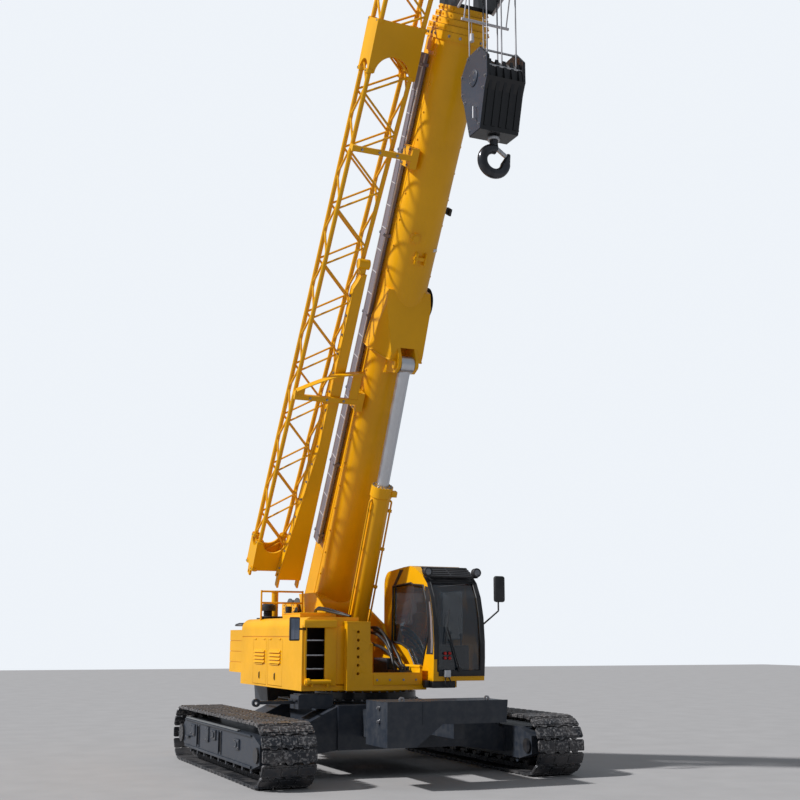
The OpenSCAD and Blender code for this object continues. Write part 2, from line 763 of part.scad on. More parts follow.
module cab_panes() {
  inner = cab_wall / 2;
  color([0.2, 0.25, 0.3, 0.5]) {
    // Windscreen and roof window, following the profile
    for (i = [0, 1]) intersection() {
      if (i == 0) cab_screen_space(); else cab_roof_space();
      translate([cab_x0, 0, 0]) rotate([90, 0, 90]) linear_extrude(cab_w) difference() {
        cab_profile(inner);
        cab_profile(inner + pane_t);
      }
    }
    translate([cab_x0 + inner, 0, 0]) rotate([90, 0, 90]) linear_extrude(pane_t) cab_side_opening();
    box([cab_x0 + 150, cab_y1 - inner - pane_t, cab_z0 + 900], [cab_x1 - 150, cab_y1 - inner, cab_z1 - 400]);
  }
}

module cab_seat() {
  x = (cab_x0 + cab_x1) / 2;
  z = cab_z0 + cab_wall;
  color(black) {
    union() {
      box([x - 160, cab_y0 + 900, z], [x + 160, cab_y0 + 1200, z + 380]);
      box([x - 240, cab_y0 + 800, z + 379], [x + 240, cab_y0 + 1290, z + 500]);
      translate([x, cab_y0 + 1290, z + 440]) rotate([-10, 0, 0]) translate([-230, -110, 0]) cube([460, 110, 620]);
    }
    // Console with the levers in front of the seat
    union() {
      box([x - 280, cab_y0 + 200, z], [x + 280, cab_y0 + 380, z + 560]);
      for (side = [-1, 1]) translate([side * 180 + x, cab_y0 + 300, z + 550]) cylinder(r = 18, h = 160, $fn = 24);
    }
  }
}

// Slatted visor that follows the brow of the roof, with a work lamp at each end
module cab_visor() {
  slat_count = 5;
  brow_z = cab_z1 - cab_brow;
  // Height of the roof above the brow where the feet stand
  roof_rise = 77.6;
  color(black) union() {
    translate([0, cab_y0 + cab_brow_y - 120, brow_z - 60]) rotate([28, 0, 0]) {
      for (i = [0:slat_count - 1])
        box([cab_x0 + 40, i * 75, 40], [cab_x1 - 40, i * 75 + 45, 64]);
      for (x = [cab_x0 + 70, (cab_x0 + cab_x1) / 2, cab_x1 - 70])
        box([x - 12, 0, 41], [x + 12, 345, 63]);
    }
    // Feet on the roof
    for (x = [cab_x0 + 70, cab_x1 - 70])
      box([x - 12, cab_y0 + cab_brow_y + 130, brow_z + roof_rise], [x + 12, cab_y0 + cab_brow_y + 170, brow_z + 140]);
    // Lamps on both front corners, each on a bracket to the visor
    for (x = [cab_x0 + 10, cab_x1 - 10]) {
      translate([x, cab_y0 + cab_brow_y - 110, brow_z + 60]) rotate([90, 0, 0]) cylinder(r = 75, h = 80, $fn = 48);
      box([x - 20, cab_y0 + cab_brow_y - 180, brow_z - 30], [x + 20, cab_y0 + cab_brow_y - 90, brow_z + 60]);
    }
  }
}

// The two knuckles of the cab door's hinge, on its rear edge
module cab_hinge(play) {
  for (z = [cab_door_z0 + 160, cab_door_z1 - 160])
    translate([cab_x1, cab_door_y1 - hinge_gap, z])
      cylinder(r = hinge_r + play, h = hinge_len + 2 * play, center = true, $fn = 32);
}

module cab_door() {
  color(yellow) difference() {
    union() {
      box([cab_x1 - cab_wall, cab_door_y0 + door_gap, cab_door_z0 + door_gap],
          [cab_x1, cab_door_y1 - hinge_gap, cab_door_z1 - door_gap]);
      cab_hinge(0);
    }
    box([cab_x1 - cab_wall - 1, cab_door_y0 + 100, cab_door_z0 + 520], [cab_x1 + 1, cab_door_y1 - 100, cab_door_z1 - 100]);
  }
}

module cab_door_pane() {
  color([0.2, 0.25, 0.3, 0.5])
    box([cab_x1 - cab_wall / 2 - pane_t, cab_door_y0 + 100, cab_door_z0 + 520],
        [cab_x1 - cab_wall / 2, cab_door_y1 - 100, cab_door_z1 - 100]);
}

// Boom

// Outline of a boom section: flat top with bevelled corners, round underside
module boom_outline(k, inset = 0) {
  d = k * section_step + inset;
  r = boom_hw - d;
  mid = boom_n0 + boom_hw;
  bevel = 70;
  union() {
    translate([0, mid]) circle(r, $fn = 128);
    polygon([
      [-r, mid], [-r, boom_n1 - d - bevel], [-r + bevel, boom_n1 - d], [r - bevel, boom_n1 - d],
      [r, boom_n1 - d - bevel], [r, mid]
    ]);
  }
}

module boom_tube(k, s0, s1) {
  translate([0, 0, s0]) linear_extrude(s1 - s0) difference() {
    boom_outline(k);
    boom_outline(k, boom_wall);
  }
}

// A ring round the outer end of section k that stands proud by t
module boom_collar(k, s0, len, t) {
  translate([0, 0, s0]) linear_extrude(len) difference() {
    boom_outline(k, -t);
    boom_outline(k, boom_wall);
  }
}

// Wear pads in the mouth of section k, which carry the next section
module wear_pads(k, s0, len) {
  translate([0, 0, s0]) linear_extrude(len) difference() {
    boom_outline(k, boom_wall / 2);
    boom_outline(k, section_step - seat_gap);
  }
}

// Saddle under the boom that spreads the rod's force: a faceted skirt that tapers up into the flanks
module eye_saddle() {
  s0 = eye_s + 50;
  s1 = s0 + 1080;
  half = boom_hw + 75;
  box_half = 285;
  flank_n = boom_lift + 40;
  difference() {
    intersection() {
      translate([0, 0, s0]) linear_extrude(s1 - s0) polygon([
        [-half, flank_n], [-half, 60], [-box_half, eye_n + 10], [box_half, eye_n + 10], [half, 60], [half, flank_n]
      ]);
      plate_x(2 * half, [
        [flank_n, s0], [eye_n, s0], [eye_n, s0 + 110], [boom_n0 + 120, s1], [flank_n - 150, s1], [flank_n, s0 + 500]
      ]);
      translate([0, -big / 2, 0]) rotate([-90, 0, 0]) linear_extrude(big) polygon([
        [-half, -s0 + 1], [-half, -s0 - 90], [-boom_hw + 8, -s1], [boom_hw - 8, -s1], [half, -s0 - 90], [half, -s0 + 1]
      ]);
    }
    translate([0, 0, s0 - 1]) linear_extrude(s1 - s0 + 2) boom_outline(0, boom_wall / 2);
    // Pocket for the rod's eye, with room for its drift
    box([-lug_gap / 2, eye_n - 200, s0 - 1], [lug_gap / 2, boom_n0 + 200, eye_s + eye_r + 130]);
  }
}

module base_boom() {
  lug_x = lug_gap / 2 + lug_t / 2;
  color(yellow) on_boom() difference() {
    union() {
      boom_tube(0, -300, base_len);
      boom_collar(0, base_len - 130, 130, 30);
      wear_pads(0, base_len - 130, 130);
      boom_collar(0, eye_s + 330, 90, 26);
      // Closed tail with the foot boss across it
      translate([0, 0, -300]) linear_extrude(30) boom_outline(0);
      bar_x(210, 2 * boom_hw);
      // Lugs of the rod's eye and the wedge in front of them
      difference() {
        for (side = [-1, 1])
          translate([side * lug_x, 0, 0]) plate_x(lug_t, [
            [boom_n0 + 120, eye_s - 330], [eye_n - 60, eye_s - 130], [eye_n - 150, eye_s],
            [eye_n - 110, eye_s + 130], [boom_n0 + 120, eye_s + 620]
          ]);
        translate([0, 0, eye_s - 400]) linear_extrude(1200) boom_outline(0, boom_wall / 2);
      }
      eye_saddle();
      // Caps of the eye's pin, on the outer faces of the lugs
      for (side = [-1, 1])
        translate([side * (lug_gap / 2 + lug_t + 15), eye_n, eye_s]) bar_x(80, 34);
    }
    // Bore of the foot pin
    bar_x(foot_r + 0.05, 3 * boom_hw);
  }
}

module boom_duct() {
  clamp_pitch = (base_len - 1800) / 6;
  color("lightgray") on_boom() union() {
    box([-boom_hw - 90, boom_lift + 80, 1050], [-boom_hw - duct_gap, boom_lift + 320, base_len - 400]);
    // Clamps that seat it on the boom
    for (i = [0:6])
      box([-boom_hw - 106, boom_lift + 60, 1200 + i * clamp_pitch],
          [-boom_hw, boom_lift + 340, 1250 + i * clamp_pitch]);
  }
}

// The stowed jib tapers towards its lower end: place of its chords at distance s along the boom
function jib_share(s) = (s - jib_s0) / (jib_s1 - jib_s0);
function jib_out(s) = jib_x + jib_lean * jib_share(s);
function jib_in(s) = jib_out(s) + jib_w0 + (jib_w1 - jib_w0) * jib_share(s);
function jib_top(s) = jib_n + jib_h0 + (jib_h1 - jib_h0) * jib_share(s);

// Plate frame round the chords from s0 to s1, with an arch on each face, open towards arch_s
module jib_frame(s0, s1, arch_s) {
  mid = (s0 + s1) / 2;
  low = [jib_out(mid) - chord_r - jib_skin, jib_n - chord_r - jib_skin];
  high = [jib_in(mid) + chord_r + jib_skin, jib_top(mid) + chord_r + jib_skin];
  plate = jib_skin + 20;
  difference() {
    box([low[0], low[1], s0], [high[0], high[1], s1]);
    box([low[0] + plate, low[1] + plate, s0 - 1], [high[0] - plate, high[1] - plate, s1 + 1]);
    translate([(low[0] + high[0]) / 2, (low[1] + high[1]) / 2, arch_s]) {
      rotate([90, 0, 0]) cylinder(r = (high[0] - low[0]) / 2 - 110, h = 2000, center = true);
      bar_x((high[1] - low[1]) / 2 - 60, 2000);
    }
  }
}

// Lattice of the stowed jib: four tapering chords, zig-zag braces on all four faces and plate frames at its ends
module jib_lattice() {
  bay = (jib_s1 - jib_s0) / jib_bays;
  color(yellow) on_boom() union() {
    for (top = [0, 1], inner = [0, 1])
      strut(jib_point(inner, top, jib_s0 - 40), jib_point(inner, top, jib_s1 + 40), chord_r, 12);
    for (i = [0:jib_bays - 1]) {
      a = jib_s0 + i * bay;
      turn = a + 0.4 * bay;
      for (top = [0, 1]) {
        strut(jib_point(0, top, a), jib_point(1, top, turn), brace_r);
        strut(jib_point(1, top, turn), jib_point(0, top, a + bay), brace_r);
      }
      for (inner = [0, 1]) {
        strut(jib_point(inner, 0, a + brace_step), jib_point(inner, 1, turn + brace_step), brace_r);
        if (i < jib_bays - 1)
          strut(jib_point(inner, 1, turn + brace_step), jib_point(inner, 0, a + bay + brace_step), brace_r);
      }
    }
    jib_frame(jib_s0 - 60, jib_s0 + 500, jib_s0 + 500);
    jib_frame(jib_s1 - 1550, jib_s1 - 750, jib_s1 - 1550);
    // Feet that stand on the brackets, the inner one of the lower bracket on the beam
    for (s = bracket_s, inner = [0, 1])
      translate([jib_point(inner, 0, s)[0], 0, s + 5])
        box([-chord_r, inner > 0 && s < beam_s1 ? beam_depth : 0, 0], [chord_r, jib_n, bracket_t - 10]);
    // Foot lugs
    for (x = [jib_lug_x0, jib_lug_x1])
      difference() {
        translate([x, jib_n + jib_h0 / 2, jib_s0]) plate_x(jib_lug_t, [[-90, 0], [90, 0], [60, -230], [-60, -230]]);
        translate([x, jib_n + jib_h0 / 2, jib_pin_s]) bar_x(jib_pin_r, 60);
      }
  }
}

// Point on a chord's middle line: inner and top are 0 or 1
function jib_point(inner, top, s) = [inner > 0 ? jib_in(s) : jib_out(s), top > 0 ? jib_top(s) : jib_n, s];

// Flat box beam beside the lattice, wide at its lower end and narrow above it
module jib_box() {
  s0 = jib_s0 - 140;
  s1 = beam_s1;
  depth = beam_depth;
  inner = -boom_hw - 410;
  wall = 12;
  color(yellow) on_boom() difference() {
    rotate([-90, 0, 0]) linear_extrude(depth) polygon([
      [inner, -s0], [inner - 430, -s0], [inner - 180, -s0 - 2600], [inner - 170, -s1 + 260], [inner - 60, -s1], [inner, -s1]
    ]);
    translate([0, wall, 0]) rotate([-90, 0, 0]) linear_extrude(depth - 2 * wall) polygon([
      [inner - wall, -s0 + 1], [inner - 430 + wall, -s0 + 1], [inner - 180 + wall, -s0 - 2600],
      [inner - 170 + wall, -s1 + 260], [inner - 60, -s1 + wall], [inner - wall, -s1 + wall]
    ]);
    // Bores of the hinge pin at its lower end
    translate([inner - 215, depth / 2, s0 + 70]) bar_x(32, 500);
  }
}

// Side of the tray as [x, s] points, its upper edge rising in a curve towards the boom
module tray_side(inset) {
  x0 = jib_out(bracket_s[0]) - 80;
  x1 = -boom_hw - 120;
  steps = 12;
  polygon(concat([[x1, 0], [x0, 0]], [for (i = [0:steps]) [
    x0 + (x1 - x0) * i / steps, 190 + 400 * sin(90 * i / steps) - inset
  ]]));
}

// Brackets between the boom and the jib; the lower one has a curved tray that the jib rides up on
module jib_brackets() {
  color(yellow) on_boom() union() {
    for (s = bracket_s) {
      box([jib_out(s) - 80, -60, s], [-boom_hw, 0, s + bracket_t]);
      box([-boom_hw - 120, -60, s - 120], [-boom_hw, boom_lift + 40, s + 210]);
    }
    translate([0, -30, bracket_s[0]]) rotate([90, 0, 0]) {
      linear_extrude(24) difference() {
        tray_side(0);
        intersection() {
          tray_side(70);
          translate([jib_out(bracket_s[0]) + 80, bracket_t]) square([jib_w0 + 280, 1000]);
        }
      }
      linear_extrude(130) difference() {
        tray_side(0);
        tray_side(16);
      }
    }
  }
}

module tele(k) {
  end = base_len + k * collar_pitch;
  color(yellow) on_boom() union() {
    boom_tube(k, tele_tail + k * 20, end);
    boom_collar(k, end - collar_len, collar_len, section_step + 24);
    if (k < section_count - 1) wear_pads(k, end - collar_len, collar_len);
  }
}

module boom_head() {
  s0 = base_len + (section_count - 1) * collar_pitch;
  head_w = (sheave_count - 1) * sheave_pitch + 160;
  color(black) on_boom() {
    difference() {
      union() {
        for (side = [-1, 1])
          translate([side * (head_w / 2 - 20), 0, 0]) plate_x(40, [
            [boom_n1 - 90, s0], [boom_n0 + 80, s0], [head_n - 120, head_s - 170],
            [head_n - 170, head_s + 60], [head_n - 60, head_s + 190], [head_n + 330, head_s + 250],
            [boom_n1 - 60, head_s + 60], [boom_n1 + 60, s0 + 500], [boom_n1 + 60, s0 + 260]
          ]);
        // Cross plates that join the two sides
        box([-head_w / 2 + 1, boom_n0 + 330, s0], [head_w / 2 - 1, boom_n1 - 120, s0 + 60]);
        box([-head_w / 2 + 1, boom_n0 + 500, s0 + 420], [head_w / 2 - 1, boom_n0 + 530, s0 + 640]);
        translate([0, boom_n1 - 60, s0 + 380]) bar_x(50, head_w - 2);
      }
      translate([0, head_n, head_s]) bar_x(60.05, head_w + 10);
    }
  }
}

module head_sheaves() {
  color(black) on_boom() {
    union() {
      translate([0, head_n, head_s]) bar_x(60, (sheave_count - 1) * sheave_pitch + 210);
      for (i = [0:sheave_count - 1])
        translate([(i - (sheave_count - 1) / 2) * sheave_pitch, head_n, head_s]) sheave();
    }
  }
}

// A rope sheave with a groove at its rim
module sheave() {
  groove_r = sheave_r - rope_r - rope_play;
  rotate([0, 90, 0]) rotate_extrude($fn = 96) polygon([
    [50, -24], [sheave_r + 14, -24], [groove_r, -8], [groove_r, 8], [sheave_r + 14, 24], [50, 24]
  ]);
}

// Lift cylinder

module lift_barrel() {
  color(yellow) on_lift() difference() {
    union() {
      translate([0, 0, 120]) cylinder(r = barrel_r, h = barrel_len - 120);
      translate([0, 0, barrel_len - 180]) cylinder(r = barrel_r + 18, h = 180);
      bar_x(130, 300);
      translate([-120, -130, 0]) cube([240, 260, 200]);
    }
    translate([0, 0, 260]) cylinder(r = rod_r + 30, h = barrel_len - 380);
    translate([0, 0, 240]) cylinder(r = rod_r + 0.05, h = barrel_len);
    bar_x(60.05, 500);
  }
}

module lift_rod() {
  color(steel) on_lift() union() {
    translate([0, 0, 2700]) cylinder(r = rod_r, h = lift_len - 2700);
    translate([0, 0, lift_len]) bar_x(eye_r, eye_w);
  }
}

// Hoist rope and hook

// The falls of the rope run over every second sheave, in front of it and behind it
module hoist_falls() {
  color(steel) union() {
    for (i = [0:2:sheave_count - 1], side = [-1, 1])
      translate([(i - (sheave_count - 1) / 2) * sheave_pitch, head_y + side * sheave_r, block_z])
        cylinder(r = rope_r, h = fall_len, $fn = 16);
  }
}

// Side plate of the hook block as [y, z] points from its sheaves' axis: eight-sided, with a tapered lower end
module block_plate() {
  polygon([
    [-190, 420], [190, 420], [block_half, 190], [block_half, -130], [330, -300], [170, block_z0],
    [-170, block_z0], [-330, -300], [-block_half, -130], [-block_half, 190]
  ]);
}

module hook_block() {
  span = (sheave_count - 1) * sheave_pitch + 140;
  plate_t = 34;
  color(black) translate([0, head_y, block_z]) union() {
    for (side = [-1, 1])
      translate([side * (span / 2 - plate_t / 2), 0, 0]) rotate([90, 0, 90])
        linear_extrude(plate_t, center = true) block_plate();
    bar_x(60, span + 40);
    for (i = [0:sheave_count - 1])
      translate([(i - (sheave_count - 1) / 2) * sheave_pitch, 0, 0]) sheave();
    // Rope guards across the front and back, and the cross head that holds the hook
    for (side = [-1, 1])
      box([-span / 2 + 1, side * (block_half - 60) - 12, -200], [span / 2 - 1, side * (block_half - 60) + 12, 60]);
    difference() {
      box([-span / 2 + 1, -165, block_z0], [span / 2 - 1, 165, block_z0 + 210]);
      translate([0, 0, block_z0 - 1]) cylinder(r = hook_shank_r + 0.05, h = 300);
    }
  }
}

// Single hook: a tapering bowl that hangs from a round shank with a nut above the cross head
module hook() {
  z = block_z - hook_drop;
  color(steel) translate([0, head_y, 0]) union() {
    translate([0, 0, z + hook_bowl_r - 10]) cylinder(r = hook_shank_r, h = block_z + block_z0 + 230 - z - hook_bowl_r);
    translate([0, 0, block_z + block_z0 + 210.3]) cylinder(r = 95, h = 60);
    translate([0, 0, z]) rotate([90, 0, 0]) {
      rotate([0, 0, 80]) rotate_extrude(angle = 270, $fn = 64) translate([hook_bowl_r, 0]) circle(hook_t, $fn = 32);
      // Tip
      rotate([0, 0, -11]) translate([hook_bowl_r, 0, 0]) rotate([-90, 0, -8]) cylinder(r1 = hook_t, r2 = 26, h = 190);
    }
  }
}

carbody();
carbody_weights();
slew_ring();
track_frame(1);  // track_frame_left
track_frame(-1);  // track_frame_right
track(1);  // track_left
track(-1);  // track_right
track_rollers(1);  // track_rollers_left
track_rollers(-1);  // track_rollers_right
sprockets();
idlers();
turntable();
engine_housing();
engine_block();
steps();
left_tank();
counterweight();
intake_exhaust();
mirrors();
winch_frame();
winch_drum(winch_y[0]);  // winch_drum_main
winch_drum(winch_y[1]);  // winch_drum_aux
engine_door(door_y[1]);  // engine_door_front
engine_door(door_y[0]);  // engine_door_rear
cab_shell();
cab_panes();
cab_seat();
cab_visor();
cab_door();
cab_door_pane();
base_boom();
boom_duct();
jib_lattice();
jib_box();
jib_brackets();
tele(1);  // tele_2
tele(2);  // tele_3
tele(3);  // tele_4
tele(4);  // tele_5
boom_head();
head_sheaves();
lift_barrel();
lift_rod();
hoist_falls();
hook_block();
hook();
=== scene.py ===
"""Looks of a telescopic crawler crane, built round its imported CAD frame.

Metres, +Z up. The origin is the slewing axis at ground level.
The machine faces -Y, and its cab is on the +X side.
"""

import json
import math

import bmesh
import bpy
from mathutils import Matrix, Vector


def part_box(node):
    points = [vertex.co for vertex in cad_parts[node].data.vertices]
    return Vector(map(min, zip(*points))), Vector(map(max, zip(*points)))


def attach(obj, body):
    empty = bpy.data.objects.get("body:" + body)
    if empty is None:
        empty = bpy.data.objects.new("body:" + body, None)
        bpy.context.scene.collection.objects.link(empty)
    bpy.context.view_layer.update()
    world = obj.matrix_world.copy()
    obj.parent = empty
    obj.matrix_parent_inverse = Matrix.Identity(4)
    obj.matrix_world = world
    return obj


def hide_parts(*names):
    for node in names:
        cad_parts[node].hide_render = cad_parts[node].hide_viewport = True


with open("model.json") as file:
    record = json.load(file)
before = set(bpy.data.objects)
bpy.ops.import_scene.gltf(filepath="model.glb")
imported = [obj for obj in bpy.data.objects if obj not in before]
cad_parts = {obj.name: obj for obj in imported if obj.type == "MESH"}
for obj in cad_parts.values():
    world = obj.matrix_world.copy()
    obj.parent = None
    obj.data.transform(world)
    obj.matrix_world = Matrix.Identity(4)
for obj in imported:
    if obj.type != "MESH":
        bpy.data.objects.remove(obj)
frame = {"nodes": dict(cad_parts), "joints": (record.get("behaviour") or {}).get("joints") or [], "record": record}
nodes = frame["nodes"]
joints = {joint["name"]: joint for joint in frame["joints"]}
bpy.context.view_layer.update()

# Camera
# A phone held at 2.1 m, 20 m in front of the machine and to its right, tilted up a little.
# The lens is worked out from the photograph, for a 36 mm sensor.
camera_place = (-7.7196, -19.0032, 2.1332)
camera_yaw = 0.4141
camera_pitch = 0.1993
camera_roll = 0.0032
camera_lens = 52.78

forward = Vector((
    math.sin(camera_yaw) * math.cos(camera_pitch),
    math.cos(camera_yaw) * math.cos(camera_pitch),
    math.sin(camera_pitch),
))
right = Vector((math.cos(camera_yaw), -math.sin(camera_yaw), 0))
up = right.cross(forward)
rolled_right = math.cos(camera_roll) * right + math.sin(camera_roll) * up
rolled_up = math.cos(camera_roll) * up - math.sin(camera_roll) * right
camera = bpy.data.objects.new("camera", bpy.data.cameras.new("camera"))
camera.data.lens = camera_lens
camera.data.sensor_width = 36
camera.data.clip_end = 400
camera.matrix_world = Matrix.Translation(camera_place) @ Matrix(
    (rolled_right, rolled_up, -forward)).transposed().to_4x4()
bpy.context.scene.collection.objects.link(camera)
bpy.context.scene.camera = camera
bpy.context.scene.view_settings.view_transform = "Standard"


# Tracks
# Forged steel shoes, each one plate with two pads on it and lobes that reach into the next shoe's notches,
# bolted to two rows of chain links. Their steel is bare, scratched on the pads and rusty in its hollows.
class Wire:
    """A value in a finish, with the usual signs of arithmetic."""

    def __init__(self, finish, socket):
        self.finish = finish
        self.socket = socket

    def maths(self, operation, *values):
        return self.finish.node("Math", {"operation": operation}, dict(enumerate(values)))

    def __add__(self, other):
        return self.maths("ADD", self, other)

    def __sub__(self, other):
        return self.maths("SUBTRACT", self, other)

    def __rsub__(self, other):
        return self.maths("SUBTRACT", other, self)

    def __mul__(self, other):
        return self.maths("MULTIPLY", self, other)

    __radd__ = __add__
    __rmul__ = __mul__

    def above(self, low, high):
        """0 below low, 1 above high, and a straight rise between them."""
        inputs = {"Value": self, "From Min": low, "From Max": high}
        return self.finish.node("MapRange", {"clamp": True}, inputs)


class Finish:
    """A surface made of shader nodes around one Principled shader."""

    def __init__(self, name, **plain):
        self.material = bpy.data.materials.new(name)
        self.material.use_nodes = True
        self.nodes = self.material.node_tree.nodes
        self.links = self.material.node_tree.links
        self.shader = self.nodes["Principled BSDF"]
        self.place = self.node("TexCoord", output="Object")
        for socket, value in plain.items():
            self.feed(self.shader.inputs[socket.replace("_", " ")], value)

    def feed(self, socket, value):
        if isinstance(value, Wire):
            self.links.new(value.socket, socket)
        else:
            socket.default_value = value

    def node(self, kind, settings=None, inputs=None, output=0):
        made = self.nodes.new("ShaderNode" + kind)
        for setting, value in (settings or {}).items():
            setattr(made, setting, value)
        for socket, value in (inputs or {}).items():
            self.feed(made.inputs[socket], value)
        return Wire(self, made.outputs[output])

    def noise(self, scale, detail=4.0, stretch=(1, 1, 1)):
        """Cloudy pattern, from 0 to 1, with about scale blobs to a metre."""
        vector = self.place
        if stretch != (1, 1, 1):
            vector = self.node("Mapping", None, {"Vector": self.place, "Scale": stretch})
        return self.node("TexNoise", None, {"Vector": vector, "Scale": scale, "Detail": detail})

    def mix(self, share, first, second):
        """A colour between two, by share."""
        inputs = {0: share, 6: first, 7: second}
        return self.node("Mix", {"data_type": "RGBA"}, inputs, output=2)

    def edge(self, radius):
        """1 on outer and inner edges, fading to 0 on flat faces."""
        rounded = self.node("Bevel", {"samples": 4}, {"Radius": radius})
        flat = self.node("NewGeometry", output="Normal")
        turned = self.node("VectorMath", {"operation": "DOT_PRODUCT"}, {0: rounded, 1: flat}, output="Value")
        return (1 - turned).above(0.02, 0.25)

    def height(self):
        """Height above the ground at rest, in metres."""
        return self.node("SeparateXYZ", None, {"Vector": self.place}, output="Z")

    def bump(self, height, depth):
        bumped = self.node("Bump", None, {"Height": height, "Distance": depth})
        self.feed(self.shader.inputs["Normal"], bumped)

    def colour(self, value):
        self.feed(self.shader.inputs["Base Color"], value)

    def roughness(self, value):
        self.feed(self.shader.inputs["Roughness"], value)


def bare_steel(name, colour, shine, rust_share=0.2, scratches=40, metal=0.9):
    """Bare steel: fine scratches, and thin rust in its low clouds."""
    steel = Finish(name, Metallic=metal)
    lines = steel.noise(scratches, 6, (1, 1, 0.08))
    rust = steel.noise(7, 8).above(0.55, 0.72) * rust_share
    dark = tuple(c * 0.7 for c in colour[:3]) + (1,)
    base = steel.mix(lines.above(0.4, 0.65), colour, dark)
    steel.colour(steel.mix(rust, base, (0.16, 0.075, 0.035, 1)))
    steel.roughness(lines * 0.18 + rust * 0.5 + (shine - 0.09))
    steel.bump(lines, 0.0006)
    return steel.material


def worn_shoe_steel():
    """Shoe steel: dry mud in broad clouds, brown rust in small ones, a paler top run, pale mud specks kept off the
    lower run as painted shade, and edges worn bright.
    """
    steel = Finish("track_steel", Metallic=0.55)
    mud = steel.noise(3.5, 9).above(0.40, 0.62)
    # The top run of the shoes is made paler, by its height.
    on_top = steel.height().above(0.84, 0.93)
    rust = steel.noise(22, 8).above(0.5, 0.7)
    # Pale mud specks on the upper run. Fading them out between 0.46 m and 0.30 m is painted shade on the lower
    # run.
    mud_specks_and_painted_shade = steel.noise(26, 8).above(0.52, 0.60) * steel.height().above(0.30, 0.46)
    bright = steel.edge(0.008) * steel.noise(30, 6).above(0.4, 0.62)
    base = steel.mix(mud * 0.4 + on_top * 0.35, (0.034, 0.038, 0.046, 1), (0.190, 0.175, 0.170, 1))
    base = steel.mix(rust * 0.25, base, (0.090, 0.058, 0.042, 1))
    base = steel.mix(mud_specks_and_painted_shade * 0.75, base, (0.30, 0.29, 0.29, 1))
    steel.colour(steel.mix(bright * 0.8, base, (0.42, 0.42, 0.43, 1)))
    steel.roughness(0.50 + mud * 0.25 - bright * 0.2)
    steel.bump(steel.noise(70, 6) + mud * 0.6, 0.003)
    return steel.material


def add_box(shape, low, high, bevel=0.0, place=Matrix()):
    """Adds a box between two corners, with its edges bevelled, and puts it in its place."""
    low, high = Vector(low), Vector(high)
    size = Matrix.Diagonal((*(high - low), 1))
    middle = place @ Matrix.Translation((low + high) / 2)
    corners = bmesh.ops.create_cube(shape, size=1, matrix=middle @ size)["verts"]
    if bevel:
        edges = list(dict.fromkeys(edge for corner in corners for edge in corner.link_edges))
        bmesh.ops.bevel(
            shape, geom=edges, offset=bevel, offset_type="OFFSET", segments=2, profile=0.5,
            affect="EDGES", material=-1)


def add_plate(shape, outline, thickness, place=Matrix()):
    """Adds a plate: an outline in x and y, made thick along z, half to each side."""
    corners = [shape.verts.new(place @ Vector((x, y, -thickness / 2))) for x, y in outline]
    grown = bmesh.ops.extrude_face_region(shape, geom=[shape.faces.new(corners)])["geom"]
    moved = [part for part in grown if isinstance(part, bmesh.types.BMVert)]
    bmesh.ops.translate(shape, verts=moved, vec=place.to_3x3() @ Vector((0, 0, thickness)))


def piece(name, shape, body, finish, stands_for=()):
    """Makes a piece of a finished shape, which rides on a body and takes a finish."""
    bmesh.ops.recalc_face_normals(shape, faces=shape.faces[:])
    mesh = bpy.data.meshes.new(name)
    shape.to_mesh(mesh)
    shape.free()
    mesh.shade_smooth()
    mesh.set_sharp_from_angle(angle=math.radians(35))
    mesh.materials.append(finish)
    made = bpy.data.objects.new(name, mesh)
    bpy.context.scene.collection.objects.link(made)
    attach(made, body)
    if stands_for:
        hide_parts(*stands_for)
    return made


track_steel = worn_shoe_steel()
shoe_count = 58
shoe_depth = 0.055
plate_thickness = 0.036
plate_rise = -0.0070
pad_thickness = 0.0185
pad_rise = 0.0158
link_depth = 0.070
link_half = 0.024
link_reach = 0.094
lobe_x = (-0.240, 0.0, 0.240)
lobe_half = 0.040
track_low, track_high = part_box("track_right")
track_x = (track_high.x - track_low.x) / -2 + track_high.x
track_radius = (track_high.z - track_low.z) / 2 - shoe_depth / 2
track_wheel_y = track_high.y - (track_high.z - track_low.z) / 2
track_middle_z = (track_low.z + track_high.z) / 2
shoe_half = (track_high.x - track_low.x) / 2
shoe_pitch = (4 * track_wheel_y + 2 * math.pi * track_radius) / shoe_count


def loop_place(distance):
    """Place of a shoe, by its distance round the loop from above the rear wheel forwards."""
    straight = 2 * track_wheel_y
    bend = math.pi * track_radius
    turned = 0.0
    if distance < straight:
        y, z = track_wheel_y - distance, track_radius
    elif distance < straight + bend:
        turned = (distance - straight) / track_radius
        y, z = -track_wheel_y - track_radius * math.sin(turned), track_radius * math.cos(turned)
    elif distance < 2 * straight + bend:
        turned = math.pi
        y, z = -track_wheel_y + distance - straight - bend, -track_radius
    else:
        turned = (distance - 2 * straight) / track_radius
        y, z = track_wheel_y - track_radius * math.sin(turned), track_radius * math.cos(turned)
    return Matrix.Translation((0, y, track_middle_z + z)) @ Matrix.Rotation(turned, 4, "X")


def shoe_outline():
    """Plan of a shoe: lobes on its front edge and notches for the next shoe's lobes in its rear edge."""
    front, rear, lobe, notch = -0.086, 0.086, 0.034, 0.010
    cut, rear_cut = 0.012, 0.020
    outline = [(-shoe_half, rear - rear_cut), (-shoe_half, front + cut), (-shoe_half + cut, front)]
    for x in lobe_x:
        near, far = x - lobe_half, x + lobe_half
        outline += [
            (near - cut, front), (near, front - lobe + cut), (near + cut, front - lobe),
            (far - cut, front - lobe), (far, front - lobe + cut), (far + cut, front)]
    outline += [
        (shoe_half - cut, front), (shoe_half, front + cut),
        (shoe_half, rear - rear_cut), (shoe_half - rear_cut, rear)]
    for x in reversed(lobe_x):
        near, far = x - lobe_half, x + lobe_half
        outline += [
            (far + rear_cut, rear), (far, rear - notch), (near, rear - notch), (near - rear_cut, rear)]
    return outline + [(-shoe_half + rear_cut, rear)]


